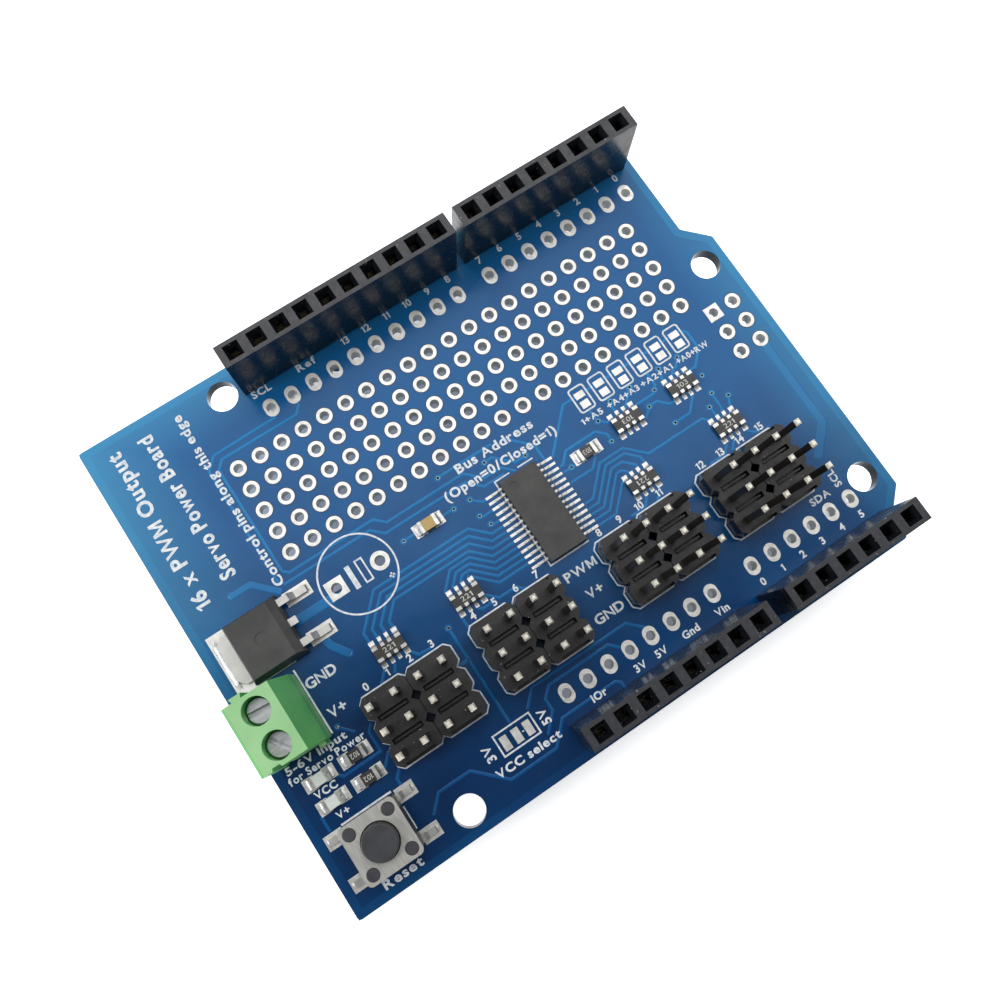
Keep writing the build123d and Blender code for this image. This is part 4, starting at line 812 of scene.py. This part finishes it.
def letter(character, weight):
    """Points, faces and width of one character whose capitals are 1 tall, starting at x = 0."""
    if character in DRAWN_LETTERS:
        outline = DRAWN_LETTERS[character]
        count = len(outline)
        points = [(x, y, raised) for raised in (False, True) for x, y in outline]
        faces = [tuple(range(count)), tuple(range(count, 2 * count))]
        for corner in range(count):
            beside = (corner + 1) % count
            faces.append((corner, beside, count + beside, count + corner))
    else:
        points, faces = built_in_letter(character, weight)
        first = min(point[0] for point in points)
        points = [((x - first) / CAPITAL_SIZE, y / CAPITAL_SIZE, raised) for x, y, raised in points]
    return points, faces, max(point[0] for point in points)


def lettering(name, words, height_low, height_high, finish, weight=0.032):
    """All words as one piece of raised ink. Each is fitted to its capital height and width."""
    lines = Shape()
    letters = {}
    for text, x, y, capital, width, turn in words:
        laid = []
        reach = 0.0
        for character in text:
            if character == " ":
                reach += WORD_GAP
                continue
            if character not in letters:
                letters[character] = letter(character, weight)
            points, faces, wide = letters[character]
            laid.append((reach, points, faces))
            reach += wide + LETTER_GAP
        reach -= LETTER_GAP
        stretch = width / reach if width else capital
        spin = Matrix.Rotation(math.radians(turn), 2)
        for start, points, faces in laid:
            placed = []
            for across, up, raised in points:
                flat = spin @ Vector(((start + across - reach / 2) * stretch, (up - 0.5) * capital))
                placed.append((x + flat.x, y + flat.y, height_high if raised else height_low))
            lines.add(placed, faces)
    lines.piece(name, finish)


def servo_outline(first, last):
    """Printed outline round two servo headers, notched at every row and column."""
    gap, notch = 0.17, 0.55
    low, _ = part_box(f"servo_header_{first}")
    _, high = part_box(f"servo_header_{last}")
    x0, y0 = (low.x - BOARD_LOW.x) / MM - gap, (low.y - BOARD_LOW.y) / MM - gap
    x1, y1 = (high.x - BOARD_LOW.x) / MM + gap, (high.y - BOARD_LOW.y) / MM + gap
    rows, columns = 3, 2
    tall, wide = (y1 - y0) / rows, (x1 - x0) / columns
    points = []
    for row in range(rows):
        y = y0 + tall * row
        points += [(x1 - notch, y), (x1, y + notch), (x1, y + tall - notch)]
    for column in range(columns):
        x = x1 - wide * column
        points += [(x - notch, y1), (x - wide + notch, y1)]
        if column < columns - 1:
            points += [(x - wide, y1 - notch)]
    for row in range(rows):
        y = y1 - tall * row
        points += [(x0, y - notch), (x0, y - tall + notch), (x0 + notch, y - tall)]
    for column in range(columns - 1):
        x = x0 + wide * (column + 1)
        points += [(x - notch, y0), (x, y0 + notch), (x + notch, y0)]
    return points


def make_legend():
    lettering("legend_words", legend_words(), LEGEND_LOW, LEGEND_HIGH, LEGEND_INK)
    lines = Shape()

    def line(route, width=LEGEND_WIDTH, closed=False):
        ribbon(lines, route, width, LEGEND_LOW, LEGEND_HIGH, 0.02, closed)

    line([(35.5, 28.0), (33.7, 28.0), (33.7, 17.75), (38.36, 17.75)])
    line([(36.5, 28.0), (38.36, 28.0)])
    ring(lines, (17.14, 27.67), 4.05, 0.2, LEGEND_LOW, LEGEND_HIGH, 0.02, 96)
    line([(16.49, 26.37), (16.49, 28.94)], 0.55)
    line([(17.45, 26.45), (18.2, 26.45), (18.2, 28.9), (17.45, 28.9)], closed=True)
    line([(19.63, 25.7), (20.23, 25.7)], 0.2)
    line([(19.93, 25.4), (19.93, 26.0)], 0.2)
    for index in range(6):
        x = 46.25 + 2.434 * index
        line(rounded_box(x - 0.88, 29.08, x + 0.88, 31.87, 0.3), 0.2, closed=True)
    line([(19.55, 4.8), (23.75, 4.8), (23.75, 7.05), (19.55, 7.05)], closed=True)
    line([(22.25, 5.85), (22.45, 5.85)], 0.15)
    line([(3.14, 8.21), (8.68, 8.21)], 0.22)
    line([(8.9, 3.98), (8.9, 6.41)], 0.22)
    line([(6.9, 15.9), (6.9, 23.1)], 0.2)
    for first in (1, 3, 5, 7):
        line(servo_outline(first, first + 1), 0.17, closed=True)
    lines.piece("legend_lines", LEGEND_INK)


def make_markings():
    """Value numerals on the resistors."""
    _, network_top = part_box("resistor_networks")
    _, resistor_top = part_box("chip_resistors")
    networks = [("221", 15.85, 19.8, 0), ("221", 24.92, 19.8, 0), ("221", 46.43, 19.8, 180),
                ("221", 57.48, 19.8, 0),
                ("103", 48.85, 25.95, 180), ("103", 55.85, 25.95, 0)]
    singles = [("102", 7.65, 13.0, 180), ("102", 7.65, 10.5, 180), ("103", 43.4, 25.45, 180)]
    for name, marks, top, width in (
        ("network_numerals", networks, network_top, 1.3),
        ("resistor_numerals", singles, resistor_top, 0.95),
    ):
        height = (top.z - BOARD_HIGH.z) / MM
        words = [(text, x, y, 0.52, width, turn) for text, x, y, turn in marks]
        lettering(name, words, height - 0.004, height + 0.006, MARKING_INK, weight=0.01)


# ---------------------------------------------------------------- surface solder

PAD_TOP = 0.036
SMALLEST_JOINT = 0.08


def fillet(shape, box, direction, reach, height):
    """A hollow-faced ramp of solder against one side of a terminal."""
    low, high = box
    middle = (low + high) / 2
    across = Vector((-direction[1], direction[0]))
    along = Vector(direction)
    half_width = abs((high - low).xy.dot(Vector((abs(across.x), abs(across.y))))) / 2
    start = middle.xy + along * (abs((high - low).xy.dot(Vector((abs(along.x), abs(along.y))))) / 2 - 0.02)
    profile = [(0, 0.0), (0, 1.0), (0.12, 0.78), (0.3, 0.42), (0.55, 0.18), (0.8, 0.07), (1, 0.02), (1, 0.0)]
    stations = [(-1.0, 0.35, 0.55), (-0.82, 0.85, 0.9), (0, 1, 1), (0.82, 0.85, 0.9), (1.0, 0.35, 0.55)]
    points = []
    for offset, rise, run in stations:
        for out, up in profile:
            flat = start + across * (half_width * offset) + along * (reach * run * out)
            points.append((flat.x, flat.y, PAD_TOP + height * rise * up))
    count = len(profile)
    faces = [tuple(range(count)), tuple(range(count * (len(stations) - 1), count * len(stations)))]
    for station in range(len(stations) - 1):
        for corner in range(count):
            one, two = station * count, (station + 1) * count
            beside = (corner + 1) % count
            faces.append((one + corner, one + beside, two + beside, two + corner))
    shape.add(points, faces)


def make_surface_solder():
    """Solder wherever a pad reaches past the terminal that stands on it."""
    pads = islands("surface_pads")
    joints = Shape()
    heights = {"chip_resistor_end_caps": 0.4, "bypass_capacitor_end_caps": 0.55, "resistor_network_terminals": 0.3,
               "status_light_ends": 0.3, "power_transistor_leads": 0.35, "reset_switch_terminals": 0.22,
               "power_transistor_tab": 0.4, "driver_chip_leads": 0.1}
    for node, tallest in heights.items():
        for low, high in islands(node):
            middle = (low + high) / 2
            for pad_low, pad_high in pads:
                if not (pad_low.x < middle.x < pad_high.x and pad_low.y < middle.y < pad_high.y):
                    continue
                spare = {
                    (1, 0): pad_high.x - high.x, (-1, 0): low.x - pad_low.x,
                    (0, 1): pad_high.y - high.y, (0, -1): low.y - pad_low.y,
                }
                way = max(spare, key=spare.get)
                if spare[way] > SMALLEST_JOINT:
                    reach = min(spare[way] * 0.85, 2.2 * tallest)
                    fillet(joints, (low, high), way, reach, min(tallest, 0.8 * (high.z - 0.04)))
    joints.piece("surface_solder", FINISHES["solder"])


# ---------------------------------------------------------------- studio

CAMERA_PLACE = Vector((-14.43, -13.95, 105.55))
CAMERA_AIM = Vector((-1.15, -0.51, 10.5))
CAMERA_TURN = 33.6
CAMERA_LENS, CAMERA_SENSOR = 34.28, 36
FLOOR_RADIUS, FLOOR_DROP, FLOOR_SIDES = 3.0, 0.00005, 64
SHADED_GLOW, OPEN_GLOW, HOLE_GLOW = 0.1, 0.68, 0.65

def floor():
    """Pale glowing floor, its glow dimmed under the board as a painted shadow, with a painted lit patch where each
    mounting hole lets the camera look through the board.
    """
    mesh = bpy.data.meshes.new("floor")
    edge = arc((0, 0), FLOOR_RADIUS, 0, 360, FLOOR_SIDES)[:-1]
    mesh.from_pydata([(x, y, -FLOOR_DROP) for x, y in edge], [], [tuple(range(FLOOR_SIDES))])
    made, tree, shader = material("floor_finish", (0.93, 0.93, 0.93), 0.7)
    tone = between(tree, noise(tree, 0.02, 3), 0.3, 0.7, 0, 1)
    tree.links.new(mixed(tree, tone, (0.92, 0.92, 0.92), (0.95, 0.95, 0.95)), shader.inputs["Base Color"])
    shader.inputs["Emission Color"].default_value = (1, 1, 1, 1)
    split = tree.nodes.new("ShaderNodeSeparateXYZ")
    tree.links.new(rest_coordinates(tree), split.inputs[0])
    past_end = combine(tree, "SUBTRACT", combine(tree, "ABSOLUTE", split.outputs["X"], 0), BOARD_HIGH.x)
    past_side = combine(tree, "SUBTRACT", combine(tree, "ABSOLUTE", split.outputs["Y"], 0), BOARD_HIGH.y)
    outside = combine(tree, "MAXIMUM", past_end, past_side)
    # Painted shadow: the floor glows less under the board than around it.
    glow = between(tree, outside, -0.004, 0.003, SHADED_GLOW, OPEN_GLOW)
    # Painted light: a bright patch on the floor under each mounting hole, where the camera looks through it.
    lift = BOARD_HIGH.z / (CAMERA_PLACE.z * MM - BOARD_HIGH.z)
    holes = [Vector(mount["pos_m"]) for mount in MOUNTING_HOLES]
    seen = [hole + (hole - CAMERA_PLACE * MM) * lift for hole in holes]
    patch = near_points(tree, [(spot.x, spot.y, 0) for spot in seen], 0.0016, 0.003)
    glow = combine(tree, "ADD", glow, combine(tree, "MULTIPLY", patch, HOLE_GLOW))
    tree.links.new(glow, shader.inputs["Emission Strength"])
    mesh.materials.append(made)
    ground = bpy.data.objects.new("floor", mesh)
    bpy.context.scene.collection.objects.link(ground)


def softbox(name, place_mm, aim_mm, size_mm, watts, turn=0):
    lamp = bpy.data.lights.new(name, "AREA")
    lamp.shape = "RECTANGLE"
    lamp.size, lamp.size_y = size_mm[0] * MM, size_mm[1] * MM
    lamp.energy = watts
    made = bpy.data.objects.new(name, lamp)
    made.location = Vector(place_mm) * MM
    if aim_mm:
        made.rotation_euler = (Vector(aim_mm) - Vector(place_mm)).to_track_quat("-Z", "Y").to_euler()
    else:
        made.rotation_euler = (0, 0, math.radians(turn))
    bpy.context.scene.collection.objects.link(made)


def world():
    sky = bpy.data.worlds.new("studio")
    sky.use_nodes = True
    background = sky.node_tree.nodes["Background"]
    background.inputs["Color"].default_value = (0.93, 0.96, 1.0, 1)
    background.inputs["Strength"].default_value = 0.26
    bpy.context.scene.world = sky


def camera():
    """Looks down on the board from over its left end, turned so the long side runs to the upper right."""
    turn = math.radians(CAMERA_TURN)
    forward = (CAMERA_AIM - CAMERA_PLACE).normalized()
    right = forward.cross(Vector((math.sin(turn), math.cos(turn), 0))).normalized()
    up = right.cross(forward)
    lens = bpy.data.cameras.new("camera")
    lens.lens = CAMERA_LENS
    lens.sensor_width = CAMERA_SENSOR
    lens.clip_start = 0.005
    made = bpy.data.objects.new("camera", lens)
    made.matrix_world = Matrix.Translation(CAMERA_PLACE * MM) @ Matrix((right, up, -forward)).transposed().to_4x4()
    bpy.context.scene.collection.objects.link(made)
    bpy.context.scene.camera = made


def studio():
    floor()
    world()
    softbox("overhead", (95, 165, 320), None, (620, 330), 1.25, turn=-20)
    softbox("side", (-330, 60, 210), (0, 0, 5), (140, 140), 0.55)
    bpy.context.scene.view_settings.view_transform = "Standard"


dress_nodes()
make_borders()
make_tracks()
make_pad_gaps()
make_legend()
make_markings()
make_surface_solder()
studio()
camera()
